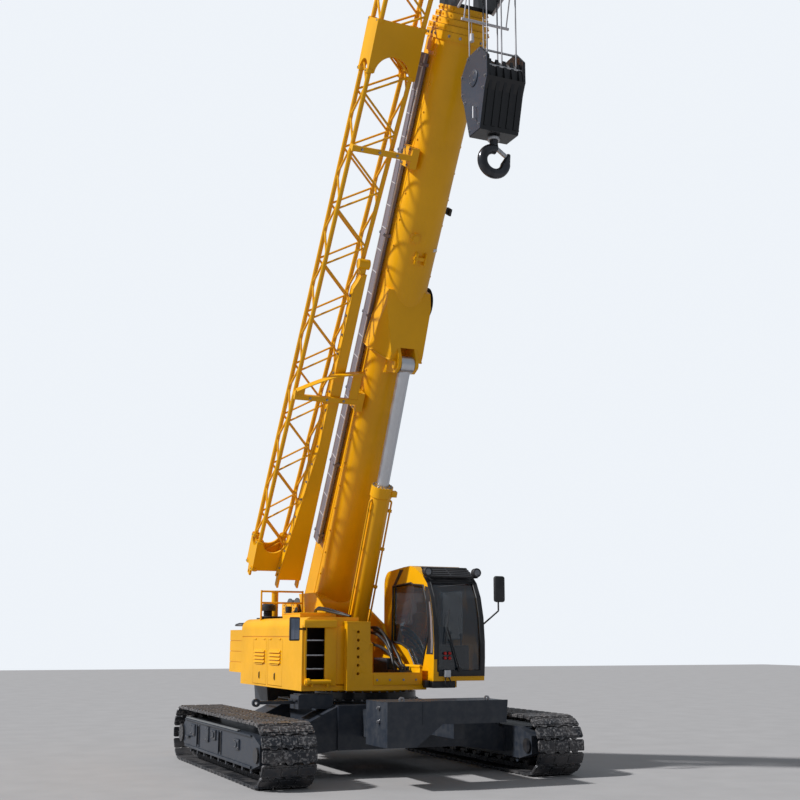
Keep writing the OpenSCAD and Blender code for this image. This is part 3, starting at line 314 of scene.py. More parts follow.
pads = ((-shoe_half + 0.03, -0.135), (-0.105, 0.105), (0.135, shoe_half - 0.03))
for side, side_x in (("right", track_x), ("left", -track_x)):
    shoes = bmesh.new()
    links = bmesh.new()
    for index in range(shoe_count):
        spot = Matrix.Translation((side_x, 0, 0)) @ loop_place((index + 0.5) * shoe_pitch)
        add_plate(shoes, shoe_outline(), plate_thickness, spot @ Matrix.Translation((0, 0, plate_rise)))
        for low_x, high_x in pads:
            outline = [(low_x, -0.062), (high_x, -0.062), (high_x, 0.050), (low_x, 0.050)]
            add_plate(shoes, outline, pad_thickness, spot @ Matrix.Translation((0, 0, pad_rise)))
        for link_x in (-0.095, 0.095):
            add_box(links, (link_x - link_half, -link_reach, -shoe_depth / 2 - link_depth),
                    (link_x + link_half, link_reach, -shoe_depth / 2), 0, spot)
        add_box(links, (-0.12, -0.018, -shoe_depth / 2 - link_depth + 0.018),
                (0.12, 0.018, -shoe_depth / 2 - link_depth + 0.054), 0, spot)
    piece("shoes_" + side, shoes, "undercarriage", track_steel, ["track_" + side])
    piece("chain_links_" + side, links, "undercarriage", track_steel)


# Track frames
# Welded box girders of thick plate, painted dark grey like the carbody. Rails keep stones off the chain,
# and plates bolted to the outer side close the holes of the travel drive's hoses and of the chain tensioner.
def painted(name, colour, dust, dust_share=0.25, shine=0.35, coat=0.35):
    """Gloss paint over steel: faint clouding, dust low down, and edges worn to dark primer."""
    paint = Finish(name, Coat_Weight=coat, Coat_Roughness=0.12, Specular_IOR_Level=0.3)
    clouds = paint.noise(0.9, 6)
    specks = paint.noise(9, 8)
    runs = paint.noise(5, 5, (1, 1, 0.12)).above(0.55, 0.8)
    deep = tuple(c * 0.82 for c in colour[:3]) + (1,)
    base = paint.mix(clouds.above(0.35, 0.7), colour, deep)
    low = 1 - paint.height().above(0.3, 3.2)
    dusty = (low * 0.7 + 0.3) * (specks.above(0.42, 0.75) + runs * 0.5) * dust_share
    worn = paint.edge(0.006) * paint.noise(26, 6).above(0.52, 0.7)
    base = paint.mix(dusty, base, dust)
    paint.colour(paint.mix(worn * 0.55, base, (0.10, 0.075, 0.06, 1)))
    paint.roughness(specks * 0.12 + dusty * 0.5 + worn * 0.3 + (shine - 0.06))
    paint.bump(paint.noise(60, 3), 0.0004)
    return paint.material


def add_bar(shape, start, end, radius, tip=None, sides=20, place=Matrix()):
    """Adds a round bar between two points, tapering to its tip's radius where that is given."""
    start, end = place @ Vector(start), place @ Vector(end)
    turned = (end - start).to_track_quat("Z", "Y").to_matrix().to_4x4()
    bmesh.ops.create_cone(
        shape, cap_ends=True, segments=sides, radius1=radius, radius2=radius if tip is None else tip,
        depth=(end - start).length, matrix=Matrix.Translation((start + end) / 2) @ turned)


def add_bolt(shape, seat, outwards, radius=0.014, place=Matrix()):
    """Adds a hexagon bolt head on its washer, standing outwards from its seat."""
    seat, outwards = Vector(seat), Vector(outwards)
    washer_top = seat + outwards * radius * 0.35
    add_bar(shape, seat, washer_top, radius * 1.5, sides=16, place=place)
    add_bar(shape, washer_top, seat + outwards * radius * 1.3, radius, sides=6, place=place)


def ring(count, radius, first=0.0):
    """Points spaced evenly on a circle round the origin, from a first angle on."""
    angles = [first + index * 2 * math.pi / count for index in range(count)]
    return [(radius * math.cos(angle), radius * math.sin(angle)) for angle in angles]


dark_paint = painted("dark_paint", (0.026, 0.033, 0.047, 1), (0.15, 0.145, 0.14, 1), 0.22, 0.45, 0.2)
# Paler grey for the rails on the track frames: a painted highlight, standing for the light along their edges.
painted_highlight_grey = painted("painted_highlight_grey", (0.16, 0.17, 0.18, 1), (0.30, 0.28, 0.26, 1), 0.35, 0.5, 0.1)
# Dead black for the backs of the frames' openings: painted shade, standing for the dark inside them.
painted_shade_black = painted("painted_shade_black", (0.004, 0.004, 0.005, 1), (0.03, 0.03, 0.03, 1), 0.1, 0.8, 0.0)
bolt_steel = bare_steel("bolt_steel", (0.42, 0.42, 0.44, 1), 0.4, 0.25)
girder_low, girder_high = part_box("track_frame_right")
# Cover plates on the outer side as [y0, y1, z0, z1], and the middles of its two openings
cover_plates = (
    (-0.020, 0.230, 0.50, 0.66), (0.42, 0.60, 0.44, 0.68),
    (1.33, 1.60, 0.47, 0.66), (-1.35, -1.12, 0.46, 0.62))
opening_y = (-0.250, 1.130)
roller_count = 9
roller_first_y = -1.825
roller_pitch = 0.44875
roller_z = 0.220
for side, turn in (("right", 1), ("left", -1)):
    trim = bmesh.new()
    bolts = bmesh.new()
    opening_shade = bmesh.new()
    rails = bmesh.new()
    face_x = turn * girder_low.x
    out = Vector((-turn, 0, 0))
    low_z, high_z = girder_low.z, girder_high.z

    def outer_box(shape, y0, y1, z0, z1, proud, bevel=0.004):
        x0, x1 = sorted((face_x, face_x - turn * proud))
        add_box(shape, (x0, y0, z0), (x1, y1, z1), bevel)

    outer_box(trim, -1.985, 1.985, high_z - 0.032, high_z - 0.006, 0.030)
    outer_box(trim, -1.985, 1.985, low_z + 0.006, low_z + 0.046, 0.024)
    for y0, y1, z0, z1 in cover_plates:
        outer_box(trim, y0, y1, z0, z1, 0.020)
        for y in (y0 + 0.03, y1 - 0.03):
            for z in (z0 + 0.03, z1 - 0.03):
                add_bolt(bolts, (face_x - turn * 0.020, y, z), out, 0.011)
    inner, outer = sorted((face_x + turn * 0.012, face_x + turn * 0.030))
    for y in opening_y:
        for edge_y in (y - 0.087, y + 0.075):
            outer_box(trim, edge_y, edge_y + 0.012, 0.31, 0.67, 0.012, 0.002)
        # A black box set in each opening is painted shade, standing for the dark inside the cut-out.
        add_box(opening_shade, (inner, y - 0.075, 0.330), (outer, y + 0.075, 0.650))
    rail_low, rail_high = sorted((face_x + turn * 0.030, face_x - turn * 0.030))
    add_box(rails, (rail_low, -1.30, 0.735), (rail_high, 1.90, 0.757), 0.004)
    outer_box(trim, 1.66, 1.90, 0.42, 0.45, 0.040)
    add_bar(trim, (face_x, 0.09, 0.58), (face_x - turn * 0.036, 0.09, 0.58), 0.045)
    add_bar(trim, (face_x, -1.235, 0.54), (face_x - turn * 0.034, -1.235, 0.54), 0.038)
    for index in range(roller_count):
        y = roller_first_y + index * roller_pitch
        for end in (-1, 1):
            seat_x = turn * track_x + end * 0.290
            add_bar(trim, (seat_x, y, roller_z), (seat_x + end * 0.022, y, roller_z), 0.042)
            for bolt_y in (y - 0.042, y + 0.042):
                add_bolt(bolts, (seat_x, bolt_y, 0.236), (end, 0, 0), 0.010)
    for end in (-1, 1):
        hub_x = turn * track_x + end * (girder_high.x - girder_low.x + 0.060) / 2
        for y, z in ring(10, 0.115):
            add_bolt(bolts, (hub_x, track_wheel_y + y, track_middle_z + z), (end, 0, 0), 0.010)
    # The rails' paler grey is a painted highlight.
    piece("track_frame_rails_" + side, rails, "undercarriage", painted_highlight_grey)
    piece("track_frame_recesses_" + side, opening_shade, "undercarriage", painted_shade_black)
    piece("track_frame_trim_" + side, trim, "undercarriage", dark_paint)
    piece("track_frame_bolts_" + side, bolts, "undercarriage", bolt_steel)


# Carbody and its end weights
# A welded box with cross beams that carry the track frames. A cast weight hangs on each end of it by two
# arms, and chains lift the weights by the lugs on their tops.
def add_turned(shape, profile, place, steps=32):
    """Adds a turned piece: a profile of radius and height, spun round z."""
    first = len(shape.verts)
    corners = [shape.verts.new(place @ Vector((radius, 0, height))) for radius, height in profile]
    pairs = list(zip(corners, corners[1:]))
    if profile[0][0] > 0:
        pairs.append((corners[-1], corners[0]))
    edges = [shape.edges.new(pair) for pair in pairs]
    bmesh.ops.spin(
        shape, geom=corners + edges, cent=place @ Vector(), axis=place.to_3x3() @ Vector((0, 0, 1)),
        angle=2 * math.pi, steps=steps, use_merge=True)
    shape.verts.ensure_lookup_table()
    bmesh.ops.remove_doubles(shape, verts=shape.verts[first:], dist=1e-6)


def add_lug(shape, foot, height, width, thickness, place=Matrix()):
    """Adds a lifting lug that stands on its foot across y: a plate with a round top and an eye through it."""
    eye = place @ Matrix.Translation(foot) @ Matrix.Translation((0, 0, height))
    eye = eye @ Matrix.Rotation(math.pi / 2, 4, "X")
    add_turned(shape, [
        (width / 4, -thickness / 2), (width / 2, -thickness / 2), (width / 2, thickness / 2),
        (width / 4, thickness / 2)], eye, 24)
    x, y, z = foot
    low = (x - width / 2, y - thickness / 2, z)
    high = (x + width / 2, y + thickness / 2, z + height - width / 4)
    add_box(shape, low, high, 0, place)


weight_trim = bmesh.new()
weight_bolts = bmesh.new()
weight_low, weight_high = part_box("carbody_weights")
for turn in (1, -1):
    spin = Matrix.Rotation(0 if turn > 0 else math.pi, 4, "Z")
    for x in (-0.69, 0.69):
        add_lug(weight_bolts, (x, weight_low.y + 0.14, weight_high.z), 0.024, 0.085, 0.030, spin)
    add_box(weight_trim, (weight_low.x, weight_low.y, weight_high.z - 0.004),
            (weight_high.x, weight_low.y + 0.05, weight_high.z + 0.006), 0.002, spin)
    if turn > 0:
        low, high = (-0.42, weight_low.y - 0.008, 0.90), (-0.40, weight_low.y + 0.01, 1.21)
        add_box(weight_trim, low, high, 0.002, spin)
    for z in (1.13, 0.94):
        cap = spin @ Matrix.Translation((weight_low.x, weight_low.y + 0.29, z))
        cap = cap @ Matrix.Rotation(-math.pi / 2, 4, "Y")
        add_turned(weight_trim, [(0, 0), (0.034, 0), (0.034, 0.012), (0.026, 0.020), (0, 0.020)], cap, 20)
        add_bolt(weight_bolts, (weight_low.x - 0.018, weight_low.y + 0.29, z), (-1, 0, 0), 0.020, spin)
piece("end_weight_trim", weight_trim, "undercarriage", dark_paint)
piece("end_weight_bolts", weight_bolts, "undercarriage", bolt_steel)

carbody_trim = bmesh.new()
carbody_bolts = bmesh.new()
for end in (-1, 1):
    for side in (-1, 1):
        # Stiffening ribs on the cross beams, and the pins that hold the track frames
        rib_x, beam_y = side * 1.40, end * 1.15
        low, high = (rib_x - 0.012, beam_y - 0.30, 1.02), (rib_x + 0.012, beam_y + 0.30, 1.045)
        add_box(carbody_trim, low, high, 0.003)
        for y in (beam_y - 0.22, beam_y + 0.22):
            add_bar(carbody_trim, (side * 1.80, y, 0.70), (side * 1.80, y, 0.80), 0.040)
# Bolts of the slewing ring's outer and inner races
for radius, z, size in ((0.89, 1.110, 0.016), (0.80, 1.240, 0.014)):
    for x, y in ring(36, radius, math.radians(5)):
        add_bolt(carbody_bolts, (x, y, z), (0, 0, 1), size)
add_turned(carbody_trim, [(0.862, 1.135), (0.872, 1.135), (0.872, 1.150), (0.862, 1.150)], Matrix(), 72)
# Hydraulic tubes along the valve box, and the travel drive's hoses
add_box(carbody_trim, (-1.58, -1.235, 1.24), (-1.12, -0.90, 1.256), 0.004)
for y in (-1.20, -1.13, -1.06, -0.99, -0.92):
    add_bar(carbody_trim, (-1.62, y, 1.16), (-1.66, y, 1.16), 0.020, sides=12)
piece("carbody_trim", carbody_trim, "undercarriage", dark_paint)
piece("carbody_bolts", carbody_bolts, "undercarriage", bolt_steel)


def hoses(name, runs, radius, body, finish):
    """Makes hoses or wires that are fixed at both ends, each along a smooth run through its points."""
    curve = bpy.data.curves.new(name, "CURVE")
    curve.dimensions = "3D"
    curve.bevel_depth = radius
    curve.bevel_resolution = 3
    curve.resolution_u = 8
    curve.use_fill_caps = True
    for run in runs:
        spline = curve.splines.new("BEZIER")
        spline.bezier_points.add(len(run) - 1)
        for point, spot in zip(spline.bezier_points, run):
            point.co = spot
            point.handle_left_type = point.handle_right_type = "AUTO"
    curve.materials.append(finish)
    made = bpy.data.objects.new(name, curve)
    bpy.context.scene.collection.objects.link(made)
    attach(made, body)


def moulded(name, colour, shine):
    """Moulded black plastic or rubber: a fine leathery grain."""
    plastic = Finish(name)
    grain = plastic.noise(180, 3)
    pale = tuple(min(1, c * 1.9 + 0.01) for c in colour[:3]) + (1,)
    plastic.colour(plastic.mix(plastic.noise(3, 6).above(0.4, 0.8), colour, pale))
    plastic.roughness(grain * 0.16 + (shine - 0.08))
    plastic.bump(grain, 0.0005)
    return plastic.material


rubber = moulded("hose_rubber", (0.012, 0.012, 0.013, 1), 0.45)
drive_hoses = []
for side in (-1, 1):
    for step in range(3):
        y = 1.52 + step * 0.06
        drive_hoses.append([
            (side * 0.98, y, 0.86), (side * 1.20, y + 0.04, 0.90), (side * 1.55, y + 0.10, 0.74),
            (side * 1.80, y + 0.16, 0.60), (side * 1.90, y + 0.16, 0.56)])
hoses("travel_drive_hoses", drive_hoses, 0.019, "undercarriage", rubber)

# Turntable
# The welded main frame of the superstructure: two side plates that hold the boom's foot, and the deck.
# It is painted yellow. Flanges stiffen the edges of its side plates, and caps close the boom foot pin.
yellow_paint = painted("yellow_paint", (0.930, 0.450, 0.001, 1), (0.48, 0.24, 0.03, 1), 0.08, 0.40, 0.10)
# Stands a plate upright: its x runs along the machine's y, its y upwards, and its thickness across
across = Matrix(((0, 0, 1, 0), (1, 0, 0, 0), (0, 1, 0, 0), (0, 0, 0, 1)))
foot_pin = (1.407, 2.696)


def add_rod(shape, points, radius, sides=12, place=Matrix()):
    """Adds a rod that runs straight from each point to the next."""
    for start, end in zip(points, points[1:]):
        add_bar(shape, start, end, radius, sides=sides, place=place)


turntable_trim = bmesh.new()
turntable_bolts = bmesh.new()
cheek_edges = {
    -1: [(-1.33, 2.00), (-0.90, 2.25), (0.30, 2.34), (0.987, 2.636), (1.277, 2.906)],
    1: [(-1.33, 1.66), (-0.20, 1.66), (0.25, 2.335), (0.987, 2.636), (1.277, 2.906)],
}
for side in (-1, 1):
    add_rod(turntable_trim, [(side * 0.435, y, z) for y, z in cheek_edges[side]], 0.030)
    pin = Matrix.Translation((side * 0.500, *foot_pin)) @ Matrix.Rotation(side * math.pi / 2, 4, "Y")
    add_turned(turntable_trim, [(0, 0), (0.150, 0), (0.150, 0.018), (0.132, 0.030), (0, 0.030)], pin, 40)
    for x, y in ring(8, 0.110):
        add_bolt(turntable_bolts, (x, y, 0.028), (0, 0, 1), 0.013, pin)
    for y in (-1.10, -0.55, 0.55, 1.6):
        top = 1.65 if side > 0 and y < 0 else 2.15
        x = side * 0.455
        add_box(turntable_trim, (x - 0.012, y - 0.015, 1.36), (x + 0.012, y + 0.015, top), 0.004)
# Deck box at the front with its lid, the tube that locks the superstructure, and the post's cap
add_box(turntable_trim, (-0.40, -1.345, 1.38), (0.40, -1.328, 1.54), 0.006)
add_box(turntable_trim, (-0.86, -1.338, 2.35), (-0.45, -1.19, 2.372), 0.006)
add_bar(turntable_trim, (-1.52, -1.25, 1.44), (-1.09, -1.25, 1.44), 0.036)
add_bar(turntable_trim, (-1.50, -1.25, 1.44), (-1.45, -1.25, 1.44), 0.056)
for x in (-1.40, -1.14):
    add_box(turntable_trim, (x - 0.014, -1.262, 1.36), (x + 0.014, -1.170, 1.430), 0.003)
for x in (-0.34, -0.12, 0.12, 0.34):
    add_bolt(turntable_bolts, (x, -1.345, 1.46), (0, -1, 0), 0.012)
piece("turntable_trim", turntable_trim, "upper", yellow_paint)
# The left side plate is cut low in front of the boom, where the cab's side shows above it
side_plates = bmesh.new()
side_plates.from_mesh(nodes["turntable"].data)
bmesh.ops.remove_doubles(side_plates, verts=side_plates.verts[:], dist=1e-5)
turntable_frame = piece("turntable_frame", side_plates, "upper", yellow_paint, ["turntable"])
cutter_shape = bmesh.new()
add_plate(cutter_shape, [(-1.40, 1.66), (-0.20, 1.66), (0.25, 2.335), (0.25, 2.60), (-1.40, 2.60)], 0.12,
          Matrix.Translation((0.435, 0, 0)) @ across)
bmesh.ops.recalc_face_normals(cutter_shape, faces=cutter_shape.faces[:])
cutter_mesh = bpy.data.meshes.new("cutter")
cutter_shape.to_mesh(cutter_mesh)
cutter_shape.free()
cutter = bpy.data.objects.new("cutter", cutter_mesh)
bpy.context.scene.collection.objects.link(cutter)
cut = turntable_frame.modifiers.new("cut", "BOOLEAN")
cut.operation = "DIFFERENCE"
cut.solver = "EXACT"
cut.object = cutter
bpy.context.view_layer.update()
evaluated = turntable_frame.evaluated_get(bpy.context.evaluated_depsgraph_get())
cut_mesh = bpy.data.meshes.new_from_object(evaluated)
turntable_frame.modifiers.clear()
turntable_frame.data = cut_mesh
bpy.data.objects.remove(cutter)
piece("turntable_bolts", turntable_bolts, "upper", bolt_steel)

# Hoses and valves at the boom's foot
# Rubber hoses rise from a block of valves on the deck, on the cab's side of the lift cylinder. They are
# screwed in at both ends.
hoses("boom_foot_hoses", [
    [(0.30, 0.60, 2.30), (0.30, 0.10, 2.26), (0.28, -0.40, 1.98), (0.30, -0.62, 1.56)],
    [(0.25, 0.60, 2.22), (0.26, 0.05, 2.16), (0.25, -0.50, 1.88), (0.24, -0.72, 1.56)],
    [(0.36, 0.50, 2.26), (0.37, -0.05, 2.12), (0.35, -0.50, 1.90), (0.36, -0.85, 1.56)],
    [(0.28, 0.40, 2.02), (0.29, -0.25, 1.90), (0.28, -0.60, 1.74), (0.30, -0.92, 1.56)],
    [(0.38, 0.30, 1.98), (0.38, -0.30, 1.80), (0.36, -0.70, 1.70), (0.36, -0.98, 1.56)]],
    0.026, "upper", rubber)
manifold = bmesh.new()
add_box(manifold, (0.20, -1.02, 1.490), (0.41, -0.50, 1.600), 0.010)
add_box(manifold, (0.23, -0.40, 1.490), (0.41, 0.20, 1.780), 0.014)
for x in (0.25, 0.31, 0.37):
    add_bar(manifold, (x, -0.95, 1.59), (x, -0.95, 1.66), 0.026)
piece("boom_foot_valves", manifold, "upper", dark_paint)

# Engine housing
# Folded sheet steel, painted yellow, with a rounded shoulder. Each door has four pressed louvres and a paddle
# latch. A tubular rail stands across the roof, rubber hoses lie on it, and steps of dark plate fill the
# recess in its front.
black_trim = moulded("black_trim", (0.014, 0.014, 0.016, 1), 0.5)
tread_paint = painted("tread_paint", (0.022, 0.012, 0.012, 1), (0.08, 0.05, 0.04, 1), 0.4, 0.7, 0.0)
nosing_steel = bare_steel("nosing_steel", (0.62, 0.62, 0.64, 1), 0.42, 0.1)
housing_x = -1.55
roof_z = 2.440
louvre_len = 0.60
louvre_pitch = 0.058
louvre_top_z = 1.890
louvre_outline = [(0.002, 0.030), (0.002, -0.022), (-0.030, -0.022), (-0.030, -0.016)]
for name, door_y in (("engine_door_front", 0.190), ("engine_door_rear", 1.050)):
    louvres = bmesh.new()
    latch = bmesh.new()
    for index in range(4):
        z = louvre_top_z - index * louvre_pitch
        hood = Matrix.Translation((housing_x, door_y, z)) @ Matrix.Rotation(math.pi / 2, 4, "X")
        add_plate(louvres, louvre_outline, louvre_len, hood)
    add_box(latch, (-1.555, door_y - 0.020, 1.420), (-1.549, door_y + 0.020, 1.540), 0.003)
    add_box(latch, (-1.566, door_y - 0.010, 1.435), (-1.554, door_y + 0.010, 1.525), 0.003)
    piece(name + "_louvres", louvres, name, yellow_paint)
    piece(name + "_latch", latch, name, black_trim)

roof_rails = bmesh.new()
for start, end in (
        ((-1.47, 1.30, 2.40), (-1.47, 1.30, 2.94)), ((-1.47, 1.30, 2.72), (-0.70, 1.30, 2.72)),
        ((-0.70, 1.30, 2.42), (-0.70, 1.30, 2.94)), ((-1.47, 1.30, 2.92), (-0.70, 1.30, 2.92))):
    add_bar(roof_rails, start, end, 0.017, sides=12)
# Filter bowl on the rear of the roof, and the seam of the roof's raised cover
add_bar(roof_rails, (-0.97, 2.08, 2.43), (-0.97, 2.08, 2.93), 0.062)
add_bar(roof_rails, (-0.97, 2.08, 2.93), (-0.97, 2.08, 2.955), 0.072, 0.056)
add_plate(roof_rails, [(0.29, roof_z), (1.50, roof_z), (1.74, 2.90), (0.92, 2.90), (0.29, 2.56)], 0.016,
          Matrix.Translation((-0.612, 0, 0)) @ across)
add_box(roof_rails, (-1.545, -1.262, 2.270), (-0.990, -1.170, 2.395), 0.020)
add_box(roof_rails, (-1.180, -1.214, 1.375), (-0.980, -1.172, 2.290), 0.012)
add_box(roof_rails, (-0.985, -1.196, 1.400), (-0.845, -1.174, 2.300), 0.004)
add_box(roof_rails, (-1.30, -0.31, 2.505), (-0.65, 0.63, 2.520), 0.006)
for y in (-0.20, 0.16, 0.52):
    add_box(roof_rails, (-1.26, y - 0.012, 2.518), (-0.69, y + 0.012, 2.530), 0.003)
# Frame of the steps' recess
for low, high in (
        ((-1.510, -1.200, 1.41), (-1.478, -1.178, 2.30)), ((-1.51, -1.200, 1.385), (-1.17, -1.178, 1.420))):
    add_box(roof_rails, low, high, 0.004)
piece("engine_housing_trim", roof_rails, "upper", yellow_paint)

step_treads = bmesh.new()
step_nosings = bmesh.new()
for z in (1.640, 1.850, 2.080):
    add_box(step_treads, (-1.486, -1.130, z - 0.028), (-0.854, -0.770, z), 0.003)
    add_box(step_nosings, (-1.480, -1.150, z - 0.012), (-0.862, -1.126, z + 0.006), 0.003)
    for x in (-1.40, -1.28):
        add_bar(step_nosings, (x, -1.00, z - 0.002), (x, -1.00, z + 0.006), 0.030, sides=12)
add_box(step_treads, (-1.486, -0.785, 1.414), (-0.854, -0.756, 2.286), 0.003)
add_box(step_treads, (-1.486, -1.130, 1.414), (-0.854, -0.770, 1.440), 0.003)
piece("step_treads", step_treads, "upper", tread_paint, ["steps"])
piece("step_nosings", step_nosings, "upper", nosing_steel)

roof_gear = bmesh.new()
cap_place = Matrix.Translation((-1.180, 1.820, roof_z))
cap_outline = [
    (0, 0.285), (0.080, 0.280), (0.134, 0.250), (0.140, 0.215), (0.136, 0.150), (0.134, 0.150),
    (0.134, 0.240), (0, 0.243)]
add_turned(roof_gear, cap_outline, cap_place, 48)
for index in range(5):
    z = index * 0.026
    add_turned(roof_gear, [(0.074, 0.020 + z), (0.090, 0.026 + z), (0.074, 0.034 + z)], cap_place, 32)
add_turned(roof_gear, [(0.055, 0.232), (0.062, 0.236), (0.062, 0.150), (0.056, 0.150)],
           Matrix.Translation((-0.760, 1.900, roof_z)), 32)
# Two spare pulleys that lie on the roof, the disc behind them, and a grille on the tank box's rear
pulley_outline = [
    (0.030, 0), (0.150, 0), (0.160, 0.010), (0.140, 0.022), (0.160, 0.034), (0.150, 0.044), (0.030, 0.044)]
for x, y in ((-1.30, 1.36), (-1.02, 1.46)):
    add_turned(roof_gear, pulley_outline, Matrix.Translation((x, y, roof_z + 0.002)), 40)
disc_place = Matrix.Translation((-1.330, 2.620, 2.300))
disc_outline = [(0, 0.085), (0.150, 0.080), (0.215, 0.055), (0.225, 0.030), (0.215, 0.020), (0, 0.020)]
add_turned(roof_gear, disc_outline, disc_place, 48)
add_turned(roof_gear, [(0, 0.020), (0.060, 0.020), (0.060, 0.0), (0, 0.0)], disc_place, 24)
add_box(roof_gear, (0.88, 2.150, 1.72), (1.36, 2.166, 2.06), 0.006)
for index in range(6):
    low_z, high_z = 1.75 + index * 0.05, 1.765 + index * 0.05
    add_box(roof_gear, (0.90, 2.164, low_z), (1.34, 2.176, high_z), 0.003)
piece("roof_gear", roof_gear, "upper", black_trim)

hoses("roof_hoses", [
    [(-0.64, 0.70, 2.46), (-0.78, 0.40, 2.56), (-0.86, -0.10, 2.58), (-0.80, -0.60, 2.52),
     (-0.66, -0.95, 2.46)],
    [(-0.64, 0.78, 2.46), (-0.74, 0.42, 2.60), (-0.80, -0.12, 2.60), (-0.74, -0.62, 2.53),
     (-0.63, -0.90, 2.46)],
    [(-0.66, 1.90, 2.46), (-0.58, 2.05, 2.60), (-0.52, 2.20, 2.58), (-0.50, 2.30, 2.48)],
    [(-0.66, 1.80, 2.46), (-0.56, 2.02, 2.64), (-0.51, 2.24, 2.62), (-0.50, 2.36, 2.48)],
], 0.021, "upper", rubber)

# Mirrors
# Convex glass in black moulded backs; one looks down the housing, the other stands on the cab's bent arm.
mirror_glass = bare_steel("mirror_glass", (0.24, 0.28, 0.36, 1), 0.12, 0.0, metal=0.85)
mirror_faces = bmesh.new()
add_box(mirror_faces, (-1.800, -1.372, 2.090), (-1.668, -1.366, 2.410), 0.002)
add_box(mirror_faces, (1.628, -1.632, 2.808), (1.772, -1.626, 3.102), 0.002)
piece("mirror_faces", mirror_faces, "upper", mirror_glass)
mirror_backs = bmesh.new()
add_box(mirror_backs, (-1.818, -1.366, 2.068), (-1.650, -1.310, 2.432), 0.020)
add_bar(mirror_backs, (-1.660, -1.330, 2.250), (-1.505, -1.190, 2.250), 0.016)
add_box(mirror_backs, (1.470, -1.450, 2.250), (1.486, -1.370, 2.350), 0.005)
elbow = (1.700, -1.640, 2.560)
add_bar(mirror_backs, (1.480, -1.410, 2.300), elbow, 0.014, sides=16)
add_bar(mirror_backs, elbow, (1.700, -1.640, 2.760), 0.014, sides=16)
add_box(mirror_backs, (1.600, -1.716, 2.700), (1.800, -1.634, 3.128), 0.038)
add_bar(mirror_backs, (1.700, -1.64, 2.74), (1.700, -1.64, 2.80), 0.022)
piece("mirror_backs", mirror_backs, "upper", black_trim, ["mirrors"])

# Counterweight and winches
# Four cast slabs bolted together, painted yellow, with the two winches on top. Wire rope lies on the drums
# in tight layers.
winch_z = 2.66
winch_y = {"winch_main": 2.48, "winch_aux": 2.90}
rope_pitch = 0.024
weight_fittings = bmesh.new()
for x in (-0.90, 0.90):
    for z in (1.60, 1.87, 2.13):
        add_bolt(weight_fittings, (x, 3.180, z), (0, 1, 0), 0.024)
for side in (-1, 1):
    for y in winch_y.values():
        for step_y, step_z in ring(8, 0.085):
            add_bolt(weight_fittings, (side * 0.490, y + step_y, winch_z + step_z), (side, 0, 0), 0.010)
piece("counterweight_bolts", weight_fittings, "upper", bolt_steel)
rear_lamps = bmesh.new()
for side in (-1, 1):
    add_box(rear_lamps, (side * 1.12 - 0.10, 3.178, 1.52), (side * 1.12 + 0.10, 3.190, 1.60), 0.004)
lamp_red = moulded("lamp_red", (0.45, 0.012, 0.008, 1), 0.2)
piece("rear_lamps", rear_lamps, "upper", lamp_red)

rope_steel = bare_steel("rope_steel", (0.30, 0.30, 0.32, 1), 0.45, 0.1)
for body, y in winch_y.items():
    layers = bmesh.new()
    axle = Matrix.Translation((0, y, winch_z)) @ Matrix.Rotation(math.pi / 2, 4, "Y")
    for index in range(32):
        height = -0.372 + index * rope_pitch
        add_turned(layers, [
            (0.150, height - 0.011), (0.166, height - 0.008), (0.172, height), (0.166, height + 0.008),
            (0.150, height + 0.011)], axle, 40)
    piece(body + "_rope", layers, body, rope_steel)

# Cab
# A pressed and welded steel cab with bonded, tinted panes. Black rubber seals frame them, and the wiper, the
# grab rails, the lamps and the handles are screwed on.
def tinted_glass(name, colour, opacity):
    """Tinted cab glass: smooth, with faint streaks of dust."""
    glass = Finish(name, Alpha=opacity, Metallic=0.0, Coat_Weight=1.0, Coat_Roughness=0.02)
    streaks = glass.noise(2.5, 6, (1, 1, 0.3)).above(0.45, 0.8)
    pale = tuple(min(1, c * 1.6 + 0.02) for c in colour[:3]) + (1,)
    glass.colour(glass.mix(streaks * 0.5, colour, pale))
    glass.roughness(streaks * 0.12 + 0.03)
    return glass.material


def add_seal(shape, outline, radius, place=Matrix()):
    """Adds a round seal that follows a closed outline in x and y."""
    for start, end in zip(outline, outline[1:] + outline[:1]):
        add_bar(shape, (*start, 0), (*end, 0), radius, sides=10, place=place)
        bmesh.ops.create_icosphere(
            shape, subdivisions=2, radius=radius, matrix=place @ Matrix.Translation((*start, 0)))


cab_glass = tinted_glass("cab_glass", (0.030, 0.042, 0.055, 1), 0.62)
cab_seals = bmesh.new()
side_window = [
    (0.110, 2.050), (0.080, 3.000), (-0.680, 3.030), (-0.770, 3.000), (-1.180, 2.970), (-1.290, 2.740),
    (-1.360, 2.450), (-1.365, 2.140), (-1.220, 1.870), (-1.120, 1.640), (-0.880, 1.630), (-0.750, 1.770),
    (-0.580, 1.930), (-0.280, 2.020)]
add_seal(cab_seals, side_window, 0.017, Matrix.Translation((0.548, 0, 0)) @ across)
door_window = [(-0.880, 2.090), (0.020, 2.090), (0.020, 2.920), (-0.880, 2.920)]
rear_window = [(0.700, 2.340), (1.320, 2.340), (1.320, 2.920), (0.700, 2.920)]
# Stands a plate upright across the machine: its x stays, its y runs upwards
flat_rear = Matrix(((1, 0, 0, 0), (0, 0, 1, 0), (0, 1, 0, 0), (0, 0, 0, 1)))
add_seal(cab_seals, rear_window, 0.014, Matrix.Translation((0, 0.481, 0)) @ flat_rear)
